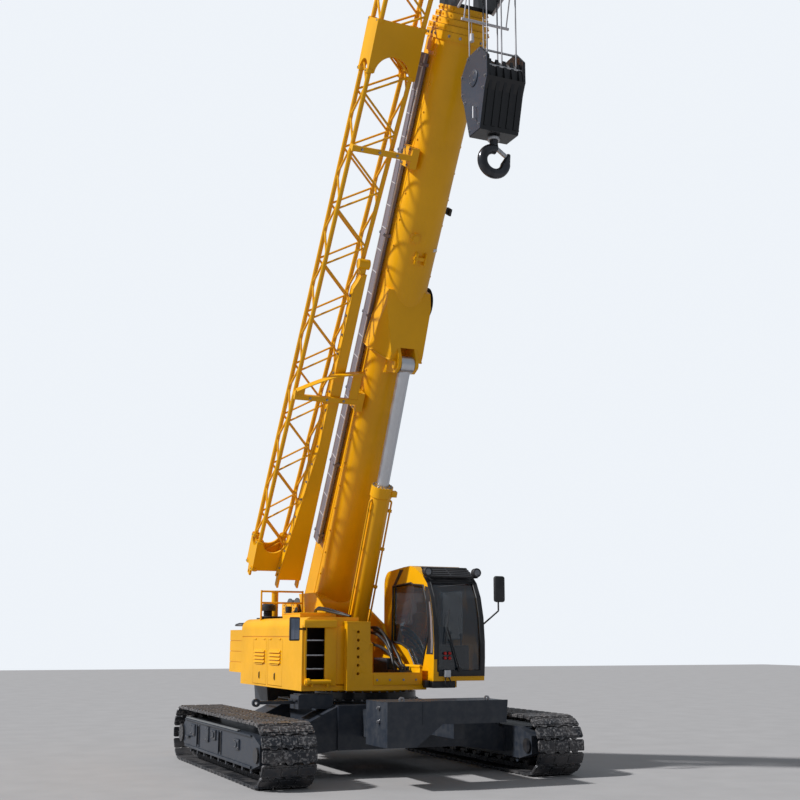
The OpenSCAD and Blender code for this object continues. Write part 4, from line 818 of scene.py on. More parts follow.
# Seal of the windscreen: its two pillars follow the front, by [y, z]
screen_front = [
    (-1.548, 1.590), (-1.578, 1.790), (-1.580, 2.060), (-1.540, 2.450), (-1.450, 2.770), (-1.310, 3.010),
    (-1.215, 3.075)]
for x in (0.622, 1.398):
    add_rod(cab_seals, [(x, y, z) for y, z in screen_front], 0.016, 10)
for y, z in (screen_front[0], screen_front[-1]):
    add_bar(cab_seals, (0.622, y, z), (1.398, y, z), 0.016, sides=10)
piece("cab_seals", cab_seals, "upper", rubber)
door_seal = bmesh.new()
add_seal(door_seal, door_window, 0.014, Matrix.Translation((1.471, 0, 0)) @ across)
add_box(door_seal, (1.470, -0.930, 1.960), (1.492, -0.790, 2.000), 0.006)
add_bar(door_seal, (1.500, -0.80, 2.20), (1.500, -0.80, 2.80), 0.013, sides=12)
for z in (2.20, 2.80):
    add_bar(door_seal, (1.465, -0.80, z), (1.510, -0.80, z), 0.014, sides=12)
piece("cab_door_fittings", door_seal, "cab_door", black_trim)


def add_strip(shape, x0, x1, low, high):
    """Adds a thin strip that lies on the cab's front between two points given as y and z."""
    along = Vector((0, high[0] - low[0], high[1] - low[1]))
    step = along.normalized()
    lie = Matrix((Vector((1, 0, 0)), step, Vector((1, 0, 0)).cross(step))).transposed().to_4x4()
    spot = Matrix.Translation((0, *low)) @ lie
    add_box(shape, (x0, -0.006, -0.006), (x1, along.length + 0.006, 0.009), 0.003, spot)


cab_fittings = bmesh.new()
# Black base under the front, bumper strip, wiper, and the dark strip across the roof's rear
add_box(cab_fittings, (0.462, -1.420, 1.335), (0.560, -1.340, 1.450), 0.008)
add_box(cab_fittings, (0.552, -1.530, 1.330), (0.955, -0.960, 1.438), 0.010)
cab_front = [
    (-1.555, 1.520), (-1.578, 1.790), (-1.581, 2.060), (-1.541, 2.450), (-1.451, 2.770), (-1.311, 3.010),
    (-1.165, 3.128)]
for x0, x1, first in ((0.549, 0.628, 1), (1.392, 1.471, 0)):
    for (y0, z0), (y1, z1) in zip(cab_front[first:], cab_front[first + 1:]):
        add_strip(cab_fittings, x0, x1, (y0, z0), (y1, z1))
add_strip(cab_fittings, 0.549, 1.471, cab_front[-2], cab_front[-1])
add_plate(cab_fittings, [
    (-1.545, 1.860), (-1.568, 2.060), (-1.530, 2.450), (-1.442, 2.770), (-1.345, 2.940), (-1.235, 2.960),
    (-1.290, 2.700), (-1.335, 2.400), (-1.345, 2.060), (-1.285, 1.860)], 0.006,
    Matrix.Translation((0.5495, 0, 0)) @ across)
add_strip(cab_fittings, 0.640, 1.471, cab_front[0], (-1.561, 1.600))
add_bar(cab_fittings, (1.00, -1.592, 1.62), (0.78, -1.592, 2.30), 0.012, sides=10)
add_bar(cab_fittings, (0.74, -1.596, 2.02), (0.83, -1.574, 2.56), 0.009, sides=10)
add_bar(cab_fittings, (1.00, -1.55, 1.62), (1.00, -1.600, 1.62), 0.030)
add_plate(cab_fittings, [(-0.36, 3.272), (-0.22, 3.272), (0.06, 3.02), (-0.05, 3.02)], 0.009,
          Matrix.Translation((0.5475, 0, 0)) @ across)
# Monitor, levers and armrests inside
add_box(cab_fittings, (0.66, -1.38, 2.05), (0.86, -1.34, 2.30), 0.010)
add_bar(cab_fittings, (0.76, -1.35, 1.95), (0.76, -1.36, 2.10), 0.015)
piece("cab_fittings", cab_fittings, "upper", black_trim)

pale_plastic = moulded("pale_plastic", (0.62, 0.63, 0.66, 1), 0.3)
silver_trim = bare_steel("silver_trim", (0.62, 0.64, 0.68, 1), 0.28, 0.0, 12, 0.7)
lamp_glass_finish = tinted_glass("lamp_glass", (0.16, 0.17, 0.19, 1), 1.0)
pale_fittings = bmesh.new()
lamp_glass = bmesh.new()
lamp_rims = bmesh.new()
lens_outline = [(0, 0.012), (0.045, 0.010), (0.060, 0.002), (0.060, -0.004), (0, -0.004)]
for x in (0.560, 1.460):
    lens = Matrix.Translation((x, -1.350, 3.190)) @ Matrix.Rotation(math.pi / 2, 4, "X")
    add_turned(lamp_glass, lens_outline, lens, 32)
    add_turned(lamp_rims, [(0.056, -0.004), (0.056, 0.014), (0.072, 0.014), (0.078, -0.004)], lens, 32)
add_box(pale_fittings, (0.730, -1.610, 1.500), (0.840, -1.560, 1.610), 0.010)
piece("cab_lamp_box", pale_fittings, "upper", pale_plastic)
piece("cab_lamp_glass", lamp_glass, "upper", lamp_glass_finish)
piece("cab_lamp_rims", lamp_rims, "upper", black_trim)
pillar_strip = bmesh.new()
add_plate(pillar_strip, [
    (-1.535, 1.880), (-1.555, 2.060), (-1.515, 2.450), (-1.442, 2.700), (-1.405, 2.700), (-1.450, 2.450),
    (-1.480, 2.060), (-1.465, 1.880)], 0.012, Matrix.Translation((0.547, 0, 0)) @ across)
piece("cab_pillar_strip", pillar_strip, "upper", silver_trim)
signal = bmesh.new()
for x, z in ((0.750, 1.800), (0.830, 1.800), (0.750, 1.875), (0.830, 1.875)):
    lens = Matrix.Translation((x, -1.580, z)) @ Matrix.Rotation(math.pi / 2, 4, "X")
    add_turned(signal, [(0, 0.020), (0.022, 0.016), (0.028, 0), (0, 0)], lens, 20)
piece("cab_signal_lamps", signal, "upper", lamp_red)
hoses("cab_loop", [
    [(0.760, -1.575, 1.50), (0.745, -1.60, 1.40), (0.790, -1.60, 1.345), (0.835, -1.60, 1.40),
     (0.820, -1.575, 1.50)]], 0.010, "upper", rubber)


# Seat
# Foam cushions covered with dark cloth on a sprung base, and a console with two levers in front of them.
def add_cushion(shape, low, high, crown, place=Matrix()):
    """Adds a cushion: a closed form with a crowned top, its sides pulled in between its corners."""
    low, high = Vector(low), Vector(high)
    middle, half = (low + high) / 2, (high - low) / 2
    made = bmesh.ops.create_cube(shape, size=2)["verts"]
    edges = list(dict.fromkeys(edge for corner in made for edge in corner.link_edges))
    bmesh.ops.bevel(shape, geom=edges, offset=0.3, segments=3, profile=0.5, affect="EDGES", material=-1)
    edges = [edge for edge in shape.edges if edge.calc_length() > 0.8]
    bmesh.ops.subdivide_edges(shape, edges=edges, cuts=5, use_grid_fill=True)
    for corner in shape.verts:
        x, y, z = corner.co
        pull = 1 - 0.07 * (1 - min(1, x * x)) - 0.07 * (1 - min(1, y * y))
        rise = crown * max(0, 1 - x * x) * max(0, 1 - y * y) if z > 0 else 0
        corner.co = place @ (middle + Vector((x * half.x * pull, y * half.y * pull, z * half.z + rise)))


cloth = Finish("seat_cloth", Roughness=0.95)
weave = cloth.node("TexWave", None, {"Vector": cloth.place, "Scale": 220.0, "Distortion": 2.0})
cloth.colour(cloth.mix(weave, (0.018, 0.018, 0.022, 1), (0.040, 0.040, 0.048, 1)))
cloth.bump(weave, 0.0008)
for name, half, spot, lean in (
        ("seat_cushion", (0.24, 0.25, 0.06), (1.010, -0.540, 1.930), 0),
        ("seat_back", (0.23, 0.31, 0.06), (1.010, -0.285, 2.250), 78),
        ("seat_headrest", (0.13, 0.09, 0.045), (1.010, -0.200, 2.640), 78)):
    pad = bmesh.new()
    place = Matrix.Translation(spot) @ Matrix.Rotation(math.radians(lean), 4, "X")
    add_cushion(pad, -Vector(half), Vector(half), 0.018, place)
    made = piece(name, pad, "upper", cloth.material)
seat_base = bmesh.new()
add_box(seat_base, (0.87, -0.68, 1.492), (1.15, -0.40, 1.56), 0.010)
add_box(seat_base, (0.90, -0.65, 1.56), (1.12, -0.43, 1.78), 0.030)
add_box(seat_base, (0.80, -0.77, 1.78), (1.22, -0.32, 1.868), 0.012)
add_box(seat_base, (0.99, -0.235, 2.50), (1.03, -0.215, 2.60), 0.006)
for x in (0.74, 1.28):
    add_box(seat_base, (x - 0.035, -0.72, 2.02), (x + 0.035, -0.38, 2.07), 0.016)
    add_box(seat_base, (x - 0.030, -0.50, 1.56), (x + 0.030, -0.42, 2.03), 0.008)
    add_bar(seat_base, (x, -0.68, 2.07), (x, -0.70, 2.20), 0.012)
    knob = Matrix.Translation((x, -0.70, 2.21))
    bmesh.ops.create_uvsphere(seat_base, u_segments=16, v_segments=10, radius=0.028, matrix=knob)
add_box(seat_base, (0.73, -1.38, 1.492), (1.29, -1.20, 2.00), 0.025)
for x in (0.83, 1.19):
    add_bar(seat_base, (x, -1.28, 1.99), (x, -1.26, 2.16), 0.014)
    knob = Matrix.Translation((x, -1.26, 2.17))
    bmesh.ops.create_uvsphere(seat_base, u_segments=16, v_segments=10, radius=0.026, matrix=knob)
piece("seat_base_and_console", seat_base, "upper", black_trim, ["cab_seat"])

# Boom
# Five folded and welded sections of fine-grained steel, painted yellow. Weld beads run along both flanks,
# and bolted blocks round each collar hold the wear pads.
foot = Vector(joints["luff"]["pos_m"])
along_boom = Vector(joints["tele_2_slide"]["axis"])
off_boom = Vector((0, along_boom.z, -along_boom.y))
on_boom = Matrix.Translation(foot) @ Matrix((Vector((1, 0, 0)), off_boom, along_boom)).transposed().to_4x4()
base_len = 10.200
collar_s = base_len - 0.065
collar_pitch = 0.096
section_step = 0.028


def on_flank(x, n, s):
    """Matrix of a plate that lies on a side of the boom: its z points outwards, to the side of x."""
    side = 1 if x > 0 else -1
    axes = Matrix(((0, 0, side), (0, side, 0), (-1, 0, 0)))
    return on_boom @ Matrix.Translation((x, n, s)) @ axes.to_4x4()


boom_trim = bmesh.new()
boom_bolts = bmesh.new()
for side in (-1, 1):
    for x, n, bead in ((0.389, 0.240, 0.009), (0.387, 0.683, 0.007)):
        start, end = (side * x, n, -0.25), (side * x, n, base_len - 0.14)
        add_bar(boom_trim, start, end, bead, sides=8, place=on_boom)
    for index in range(22):
        s = 0.55 + index * 0.44
        if not 4.7 < s < 6.2:
            x = side * 0.380
            add_box(boom_trim, (x - 0.018, 0.150, s), (x + 0.018, 0.190, s + 0.030), 0.004, on_boom)
    for n in (0.30, 0.45, 0.60):
        add_bolt(boom_bolts, (side * 0.420, n, collar_s), (side, 0, 0), 0.017, on_boom)
    low = (side * 0.405 - 0.020, 0.35, base_len - 0.34)
    high = (side * 0.405 + 0.020, 0.55, base_len - 0.135)
    add_box(boom_trim, low, high, 0.006, on_boom)
for x in (-0.26, -0.13, 0.0, 0.13, 0.26):
    add_bolt(boom_bolts, (x, 0.780, collar_s), (0, 1, 0), 0.015, on_boom)
for index in range(5):
    angle = math.radians(220 + index * 25)
    seat = (0.420 * math.cos(angle), 0.240 + 0.420 * math.sin(angle), collar_s)
    add_bolt(boom_bolts, seat, (math.cos(angle), math.sin(angle), 0), 0.015, on_boom)
# Stiffening rings, the round boss and the lug under the boom, and the lip of the saddle
for s in (0.90, 2.60):
    add_box(boom_trim, (-0.398, 0.24, s), (0.398, 0.69, s + 0.030), 0.004, on_boom)
add_bar(boom_trim, (-0.17, -0.120, 6.95), (-0.17, -0.175, 6.95), 0.080, place=on_boom)
add_bar(boom_trim, (-0.17, -0.170, 6.95), (-0.17, -0.190, 6.95), 0.055, place=on_boom)
add_box(boom_trim, (-0.12, -0.210, 6.60), (0.10, -0.120, 6.66), 0.008, on_boom)
for x in (-0.09, 0.07):
    add_box(boom_trim, (x - 0.015, -0.230, 6.53), (x + 0.015, -0.130, 6.73), 0.006, on_boom)
saddle_lip = [(-0.465, 0.33), (-0.465, 0.06), (-0.285, -0.508), (-0.132, -0.508)]
for side in (1, -1):
    add_rod(boom_trim, [(side * x, n, 4.955) for x, n in saddle_lip], 0.013, 10, on_boom)
piece("base_boom_trim", boom_trim, "boom", yellow_paint)
piece("base_boom_bolts", boom_bolts, "boom", bolt_steel)

for index in range(1, 5):
    collar = bmesh.new()
    end = base_len + index * collar_pitch - 0.045
    half = 0.442 - section_step * index
    top = 0.802 - section_step * index
    for side in (-1, 1):
        for n in (0.32, 0.46, 0.60):
            add_bolt(collar, (side * half, n, end), (side, 0, 0), 0.014, on_boom)
    for x in (-0.22, -0.07, 0.07, 0.22):
        add_bolt(collar, (x, top, end), (0, 1, 0), 0.013, on_boom)
    for angle in (math.radians(205), math.radians(335)):
        seat = (half * math.cos(angle), 0.240 + half * math.sin(angle), end)
        add_bolt(collar, seat, (math.cos(angle), math.sin(angle), 0), 0.013, on_boom)
    section = "tele_" + str(index + 1)
    piece(section + "_bolts", collar, section, yellow_paint)

# Fittings on the boom's left side: the cable reel, the black bracket and two white reflectors
reel = bmesh.new()
reel_place = on_boom @ Matrix.Translation((0.392, 0.300, 5.760)) @ Matrix.Rotation(math.pi / 2, 4, "Y")
reel_outline = [
    (0, 0), (0.275, 0), (0.285, 0.008), (0.285, 0.016), (0.190, 0.024), (0.190, 0.086), (0.285, 0.094),
    (0.285, 0.102), (0.270, 0.112), (0.080, 0.116), (0.070, 0.128), (0, 0.128)]
add_turned(reel, reel_outline, reel_place, 56)
add_box(reel, (0.392, 0.300, 7.350), (0.545, 0.350, 7.430), 0.008, on_boom)
add_box(reel, (0.500, 0.240, 7.330), (0.545, 0.400, 7.450), 0.008, on_boom)
piece("cable_reel", reel, "boom", black_trim)
reflectors = bmesh.new()
for s in (4.80, 6.78):
    tilt = on_boom @ Matrix.Translation((0.270, -0.041, s)) @ Matrix.Rotation(math.radians(43.8), 4, "Z")
    add_box(reflectors, (-0.060, -0.012, -0.025), (0.060, 0.006, 0.025), 0.004, tilt)
piece("boom_reflectors", reflectors, "boom", pale_plastic)

# Duct
# A grey trunking of folded sheet that leads hoses and cables up the boom, with clamps with two screws each.
# Pale rods along both its folded edges are a painted highlight, standing for the sun on those edges.
grey_paint = painted("grey_paint", (0.215, 0.190, 0.215, 1), (0.16, 0.14, 0.12, 1), 0.2, 0.5, 0.1)
# Pale paint, also used on the switch bar and the boom head's lip. Along the duct's edges it is a painted
# highlight.
pale_paint_and_highlight = painted("pale_paint_and_highlight", (0.62, 0.60, 0.62, 1), (0.30, 0.28, 0.25, 1), 0.2, 0.4, 0.2)
duct_edge = bmesh.new()
duct_screws = bmesh.new()
duct_x = -0.480
# Pale rods along the duct's two folded edges: a painted highlight, standing for the sun on those edges.
for n in (0.385, 0.615):
    add_bar(duct_edge, (duct_x, n, 1.06), (duct_x, n, base_len - 0.41), 0.014, sides=8, place=on_boom)
for index in range(7):
    for n in (0.40, 0.60):
        add_bolt(duct_screws, (-0.496, n, 1.225 + index * 1.4), (-1, 0, 0), 0.012, on_boom)
for index in range(22):
    s = 1.60 + index * 0.38
    add_box(duct_edge, (-0.487, 0.37, s), (-0.479, 0.63, s + 0.014), 0.002, on_boom)
piece("duct_edges", duct_edge, "boom", pale_paint_and_highlight)
piece("duct_screws", duct_screws, "boom", bolt_steel)

# Lift cylinder
# A honed steel barrel, painted yellow, with a screwed gland at its mouth. Two steel pipes run down the barrel
# to hoses, and its rod is hard chromed.
along_lift = Vector(joints["lift_rod_slide"]["axis"])
off_lift = Vector((0, along_lift.z, -along_lift.y))
on_lift = Matrix.Translation(joints["lift_barrel_swing"]["pos_m"]) @ Matrix(
    (Vector((1, 0, 0)), off_lift, along_lift)).transposed().to_4x4()
barrel_trim = bmesh.new()
barrel_bolts = bmesh.new()
gland_outline = [(0.170, 3.250), (0.182, 3.262), (0.190, 3.268), (0.190, 3.276), (0.170, 3.276)]
add_turned(barrel_trim, gland_outline, on_lift, 48)
add_turned(barrel_trim, [(0.170, 0.380), (0.184, 0.390), (0.184, 0.450), (0.170, 0.460)], on_lift, 48)
for x, n in ring(16, 0.155):
    add_bolt(barrel_bolts, (x, n, 3.450), (0, 0, 1), 0.014, on_lift)
for x in (-0.200, 0.200):
    add_bar(barrel_trim, (x, -0.05, 0.62), (x, -0.05, 3.18), 0.016, sides=12, place=on_lift)
    add_bar(barrel_trim, (x, -0.05, 3.18), (x * 0.80, -0.04, 3.22), 0.018, sides=12, place=on_lift)
    low_x, high_x = min(x, x * 0.8), max(x, x * 1.12)
    for s in (0.9, 1.6, 2.3, 3.0):
        add_box(barrel_trim, (low_x, -0.080, s), (high_x, -0.020, s + 0.05), 0.004, on_lift)
add_box(barrel_trim, (0.130, -0.150, 3.300), (0.235, -0.060, 3.400), 0.008, on_lift)
piece("lift_barrel_trim", barrel_trim, "lift_barrel", yellow_paint)
piece("lift_barrel_bolts", barrel_bolts, "lift_barrel", bolt_steel)
hoses("lift_hoses", [[tuple(on_lift @ Vector(spot)) for spot in run] for run in (
    [(-0.200, -0.05, 0.66), (-0.205, -0.07, 0.60), (-0.185, -0.10, 0.54), (-0.120, -0.12, 0.50)],
    [(0.200, -0.05, 0.66), (0.205, -0.07, 0.60), (0.185, -0.10, 0.54), (0.120, -0.12, 0.50)])],
    0.016, "lift_barrel", rubber)

# Jib
# A light lattice of welded tubes, stowed along the boom's right side on a tray, with a flat beam under it.
# Pins with clips hold its plate frames, and small plates stiffen the ends.
jib_start = 0.640
jib_len = base_len + 0.060
bay_count = 11


def jib_spot(inner, top, s):
    """Point on a chord's middle line, in the boom's frame."""
    share = (s - jib_start) / jib_len
    x = -1.630 + 0.270 * share
    if inner:
        x += 0.515 + 0.210 * share
    return Vector((x, 0.220 + (0.300 + 0.100 * share if top else 0), s))


jib_trim = bmesh.new()
jib_bolts = bmesh.new()
for s0, s1 in ((0.600, 1.120), (9.370, 10.130)):
    for inner in (0, 1):
        for top in (0, 1):
            for s in (s0, s1):
                spot = jib_spot(inner, top, s)
                side = 1 if inner else -1
                add_turned(jib_trim, [(0.052, -0.03), (0.066, -0.03), (0.066, 0.03), (0.052, 0.03)],
                           on_boom @ Matrix.Translation(spot), 24)
                add_bolt(jib_bolts, spot + Vector((side * 0.054, 0, 0)), (side, 0, 0), 0.014, on_boom)
# Gussets on the outer chords, where the braces meet them
bay = jib_len / bay_count
for index in range(1, bay_count):
    for top, rise in ((0, 1), (1, -1)):
        spot = jib_spot(0, top, jib_start + index * bay + (-0.6 * bay + 0.130 if top else 0.130))
        gusset = [(-0.07, 0), (0.07, 0), (0.035, rise * 0.055), (-0.035, rise * 0.055)]
        add_plate(jib_trim, gusset, 0.010, on_flank(spot.x, spot.y + rise * 0.036 * 0.6, spot.z))
# Fork at the upper end, and the two rope pulleys' shaft in the lower frame
fork = (jib_spot(0, 0, 10.85) + jib_spot(1, 1, 10.85)) / 2
for x in (fork.x - 0.150, fork.x + 0.150):
    add_box(jib_trim, (x - 0.018, fork.y - 0.10, 10.840), (x + 0.018, fork.y + 0.10, 10.995), 0.006, on_boom)
for n in (0.235, 0.60):
    low, high = jib_spot(0, 0, 10.90), jib_spot(1, 0, 10.90)
    add_bar(jib_trim, (low.x, n, 10.90), (high.x, n, 10.90), 0.028, sides=12, place=on_boom)
piece("jib_lattice_trim", jib_trim, "boom", yellow_paint)
piece("jib_lattice_bolts", jib_bolts, "boom", bolt_steel)

beam_trim = bmesh.new()
beam_bolts = bmesh.new()
for index in range(16):
    s = 0.70 + index * 0.34
    edge_x = -1.230 + 0.250 * min(1, (s - 0.5) / 2.6)
    add_bolt(beam_bolts, (edge_x - 0.001, 0.075, s), (-1, 0, 0), 0.016, on_boom)
beam_edge = [(-1.232, 0.50), (-0.982, 3.10), (-0.972, 5.94), (-0.862, 6.20), (-0.80, 6.20)]
for n in (0.003, 0.147):
    add_rod(beam_trim, [(x, n, s) for x, s in beam_edge], 0.010, 8, on_boom)
for x in (-1.200, -0.830):
    add_box(beam_trim, (x - 0.018, 0.010, 0.330), (x + 0.018, 0.140, 0.520), 0.006, on_boom)
add_box(beam_trim, (-0.92, 0.02, 6.19), (-0.82, 0.13, 6.31), 0.010, on_boom)
add_bar(beam_trim, (-0.965, 0.075, 6.36), (-0.775, 0.075, 6.36), 0.085, place=on_boom)
piece("jib_beam_trim", beam_trim, "boom", yellow_paint)
piece("jib_beam_bolts", beam_bolts, "boom", bolt_steel)

bracket_bolts = bmesh.new()
for s in (3.950, 8.150):
    for n in (0.06, 0.28):
        for step in (-0.08, 0.17):
            add_bolt(bracket_bolts, (-0.510, n, s + step), (-1, 0, 0), 0.016, on_boom)
    for x in (-1.35, -1.05, -0.75):
        add_bolt(bracket_bolts, (x, -0.060, s + 0.045), (0, -1, 0), 0.015, on_boom)
piece("jib_bracket_bolts", bracket_bolts, "boom", bolt_steel)

# Boom head
# Two thick plates that hold the head sheaves, painted black, with a worn lip along their lower edges. A
# switch bar hangs under them, whose weight the hook block lifts before it can touch the head.
black_paint = painted("black_paint", (0.013, 0.014, 0.018, 1), (0.16, 0.14, 0.12, 1), 0.22, 0.40)
head_lip = bmesh.new()
head_bolts = bmesh.new()
head_pin_n, head_pin_s = -0.320, 11.180
lower_edge = [(-0.070, 10.584), (-0.440, 11.010), (-0.490, 11.240), (-0.380, 11.370), (0.010, 11.430)]
for side in (-1, 1):
    x = side * 0.300
    add_rod(head_lip, [(x, n, s) for n, s in lower_edge], 0.022, 12, on_boom)
    pin = on_boom @ Matrix.Translation((side * 0.322, head_pin_n, head_pin_s))
    pin = pin @ Matrix.Rotation(side * math.pi / 2, 4, "Y")
    add_turned(head_lip, [(0, 0), (0.105, 0), (0.105, 0.020), (0.090, 0.030), (0, 0.030)], pin, 40)
    for bolt_x, bolt_y in ring(6, 0.080):
        add_bolt(head_bolts, (bolt_x, bolt_y, 0.028), (0, 0, 1), 0.012, pin)
add_bar(head_lip, (-0.36, -0.540, 10.960), (0.36, -0.540, 10.960), 0.020, sides=12, place=on_boom)
for x in (-0.30, 0.30):
    add_box(head_lip, (x - 0.015, -0.560, 10.93), (x + 0.015, -0.400, 10.99), 0.005, on_boom)
switch_bar = bmesh.new()
add_bar(switch_bar, (-0.40, -4.600, 11.240), (0.40, -4.600, 11.240), 0.022, sides=16)
for x in (-0.36, 0.36):
    add_bar(switch_bar, (x, -4.600, 11.240), (x, -4.800, 11.940), 0.010, sides=10)
switch_wire = Vector((-0.23, -4.600, 11.240))
add_bar(switch_bar, switch_wire, switch_wire - Vector((0, 0, 0.22)), 0.005, sides=8)
add_bar(switch_bar, switch_wire - Vector((0, 0, 0.22)), switch_wire - Vector((0, 0, 0.34)), 0.030, 0.036)
piece("switch_bar", switch_bar, "hook_block", pale_paint_and_highlight)
piece("boom_head_lip", head_lip, "tele_5", pale_paint_and_highlight)
piece("boom_head_bolts", head_bolts, "tele_5", bolt_steel)

# Hook block and hook
# Dark side plates round five sheaves, black ribbed covers between them, and bright rope guards. The hook is
# forged, hangs from a nut in the cross head, and has a sprung latch across its mouth.
slate_paint = painted("slate_paint", (0.042, 0.052, 0.076, 1), (0.16, 0.155, 0.15, 1), 0.15, 0.42)
block_black = painted("block_black", (0.010, 0.011, 0.014, 1), (0.10, 0.09, 0.08, 1), 0.15, 0.3)
hook_axis = Vector(joints["hook_hang"]["pos_m"])
block = Vector((0, hook_axis.y, hook_axis.z - 1.800))
half_span = 0.310
plates = bmesh.new()
guards = bmesh.new()
block_bolts = bmesh.new()
cheek_outline = [
    (-0.19, 0.42), (0.19, 0.42), (0.415, 0.19), (0.415, -0.13), (0.33, -0.30), (0.17, -0.86), (-0.17, -0.86),
    (-0.33, -0.30), (-0.415, -0.13), (-0.415, 0.19)]
rib_outline = [
    (0.350, 0.17), (0.390, 0.02), (0.412, -0.12), (0.345, -0.30), (0.205, -0.80), (0.190, -0.80),
    (0.318, -0.30), (0.375, -0.12), (0.350, 0.02), (0.325, 0.15)]
for side in (-1, 1):
    face = Matrix.Translation((side * (half_span + 0.003), block.y, block.z)) @ across
    add_plate(plates, [(y * 0.985, z * 0.985) for y, z in cheek_outline], 0.010, face)
    hub = Matrix.Translation((side * (half_span + 0.006), block.y, block.z))
    hub = hub @ Matrix.Rotation(side * math.pi / 2, 4, "Y")
    add_turned(plates, [(0, 0), (0.125, 0), (0.125, 0.016), (0.110, 0.024), (0, 0.024)], hub, 36)
    for y, z in cheek_outline:
        seat = (side * (half_span + 0.006), block.y + y * 0.87, block.z + z * 0.90)
        add_bolt(block_bolts, seat, (side, 0, 0), 0.016)
    for y, z in ring(4, 0.085, math.radians(45)):
        add_bolt(block_bolts, (side * (half_span + 0.028), block.y + y, block.z + z), (side, 0, 0), 0.012)
    loop = Matrix.Translation((side * 0.30, block.y, block.z - 0.58))
    for z in (-0.09, 0.09):
        add_bar(guards, (0, -0.075, z), (side * 0.075, -0.075, z), 0.010, sides=10, place=loop)
    add_bar(guards, (side * 0.075, -0.075, -0.09), (side * 0.075, -0.075, 0.09), 0.010, sides=10, place=loop)
covers = bmesh.new()
for end in (-1, 1):
    for (y0, z0), (y1, z1) in (((0.415, -0.13), (0.330, -0.30)), ((0.330, -0.30), (0.170, -0.86))):
        outline = [(end * y0, z0), (end * y1, z1), (end * (y1 - 0.016), z1), (end * (y0 - 0.016), z0)]
        add_plate(covers, outline, 2 * half_span - 0.004, Matrix.Translation((0, block.y, block.z)) @ across)
    rib = [(end * y, z) for y, z in rib_outline]
    for x in (-0.24, -0.12, 0, 0.12, 0.24):
        add_plate(covers, rib, 0.050, Matrix.Translation((x, block.y, block.z)) @ across)
    for y, z, radius in ((0.362, 0.062, 0.018), (0.23, 0.36, 0.016)):
        guard_y, guard_z = block.y + end * y, block.z + z
        add_bar(guards, (-half_span, guard_y, guard_z), (half_span, guard_y, guard_z), radius)
piece("hook_block_covers", covers, "hook_block", block_black)
piece("hook_block_plates", plates, "hook_block", slate_paint)
piece("hook_block_guards", guards, "hook_block", nosing_steel)
piece("hook_block_bolts", block_bolts, "hook_block", bolt_steel)

hook_steel = bare_steel("hook_steel", (0.065, 0.068, 0.078, 1), 0.24, 0.05, 14, 0.75)
bowl = block - Vector((0, 0, 1.245))
latch = bmesh.new()
add_box(latch, (-0.028, -0.022, 0), (0.028, 0.022, 0.225), 0.008,
        Matrix.Translation(bowl + Vector((0.030, 0, 0.215))) @ Matrix.Rotation(math.radians(123), 4, "Y"))
pin_x, pin_z = bowl.x + 0.030, bowl.z + 0.215
add_bar(latch, (pin_x, bowl.y - 0.045, pin_z), (pin_x, bowl.y + 0.045, pin_z), 0.020)
add_turned(latch, [(0.062, 0), (0.090, 0), (0.094, 0.012), (0.094, 0.040), (0.062, 0.040)],
           Matrix.Translation((0, block.y, block.z - 0.925)), 32)
piece("hook_latch", latch, "hook", nosing_steel)

# Finishes of the frame's own parts
# Each solid of the CAD model takes the finish that its record names. The lift rod is hard chromed, with faint
# marks along it where its seal wipes it.
chrome = Finish("rod_chrome", Metallic=0.85)
wipe_marks = chrome.noise(30, 4, (1, 1, 0.04)).above(0.3, 0.7)
chrome.colour(chrome.mix(wipe_marks, (0.60, 0.62, 0.66, 1), (0.66, 0.68, 0.72, 1)))
chrome.roughness(wipe_marks * 0.05 + 0.30)
drum_steel = bare_steel("drum_steel", (0.30, 0.30, 0.31, 1), 0.42, 0.25)
finish_of_slot = {
    "yellow_paint": yellow_paint,
    "dark_paint": dark_paint,
    "track_steel": track_steel,
    "black_steel": black_paint,
    "black_trim": black_trim,
    "pane": cab_glass,
    "grey_paint": grey_paint,
    "drum_steel": drum_steel,
    "rod_chrome": chrome.material,
    "rope_wire": rope_steel,
    "hook_steel": hook_steel,
}
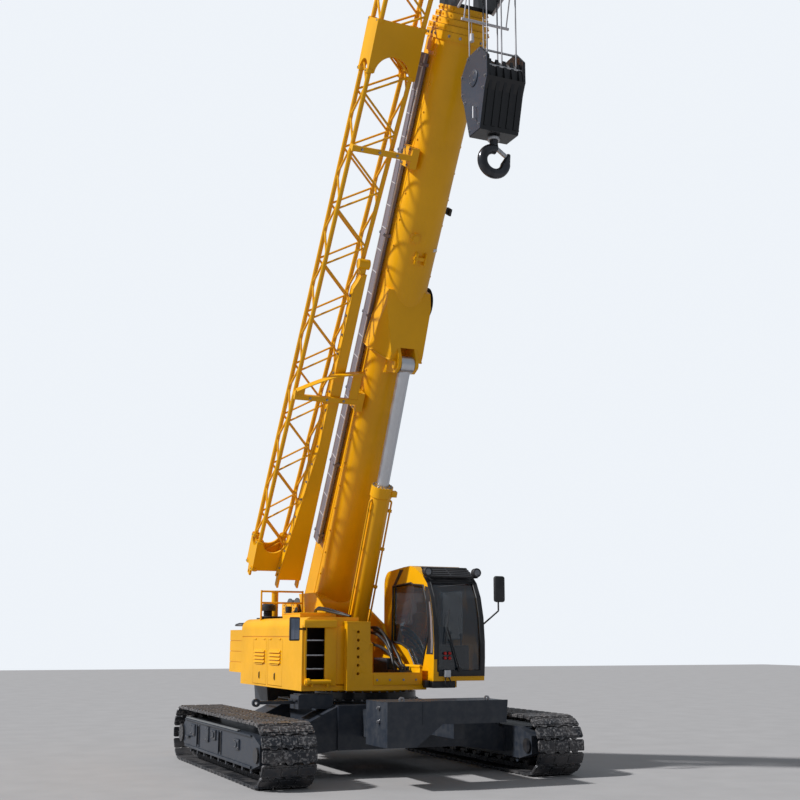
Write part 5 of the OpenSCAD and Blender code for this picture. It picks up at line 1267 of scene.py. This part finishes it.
for part in frame["record"]["subparts"]:
    node = nodes[part["node"]]
    node.data.materials.clear()
    node.data.materials.append(finish_of_slot[part["material_slot"]])

# Floor and light
# A plain pale floor, a soft sun from the machine's right, and a sky. Only the camera and the rays that pass
# through glass see its pale backdrop.
floor_size = 60
sun_strength = 3.8
sky_strength = 0.34
sun_turn = (math.radians(48), 0, math.radians(-100))

floor_shape = bmesh.new()
bmesh.ops.create_grid(floor_shape, x_segments=1, y_segments=1, size=floor_size)
floor_mesh = bpy.data.meshes.new("floor")
floor_shape.to_mesh(floor_mesh)
floor_shape.free()
floor = bpy.data.objects.new("floor", floor_mesh)
bpy.context.scene.collection.objects.link(floor)
ground = Finish("ground", Roughness=0.9)
ground.colour(ground.mix(ground.noise(1.5, 8), (0.34, 0.33, 0.33, 1), (0.42, 0.41, 0.41, 1)))
floor_mesh.materials.append(ground.material)

sun = bpy.data.objects.new("sun", bpy.data.lights.new("sun", "SUN"))
sun.data.energy = sun_strength
sun.data.angle = math.radians(3)
sun.rotation_euler = sun_turn
bpy.context.scene.collection.objects.link(sun)

sky = bpy.data.worlds.new("sky")
sky.use_nodes = True
sky_nodes = sky.node_tree.nodes
sky_nodes["Background"].inputs["Color"].default_value = (0.84, 0.91, 1.0, 1)
sky_nodes["Background"].inputs["Strength"].default_value = sky_strength
backdrop = sky_nodes.new("ShaderNodeBackground")
backdrop.inputs["Color"].default_value = (0.86, 0.90, 0.95, 1)
light_path = sky_nodes.new("ShaderNodeLightPath")
seen = sky_nodes.new("ShaderNodeMath")
seen.operation = "MAXIMUM"
blend_skies = sky_nodes.new("ShaderNodeMixShader")
for output, socket in (
        (light_path.outputs["Is Camera Ray"], seen.inputs[0]),
        (light_path.outputs["Is Transmission Ray"], seen.inputs[1]),
        (seen.outputs[0], blend_skies.inputs[0]), (sky_nodes["Background"].outputs[0], blend_skies.inputs[1]),
        (backdrop.outputs[0], blend_skies.inputs[2]),
        (blend_skies.outputs[0], sky_nodes["World Output"].inputs[0])):
    sky.node_tree.links.new(output, socket)
bpy.context.scene.world = sky
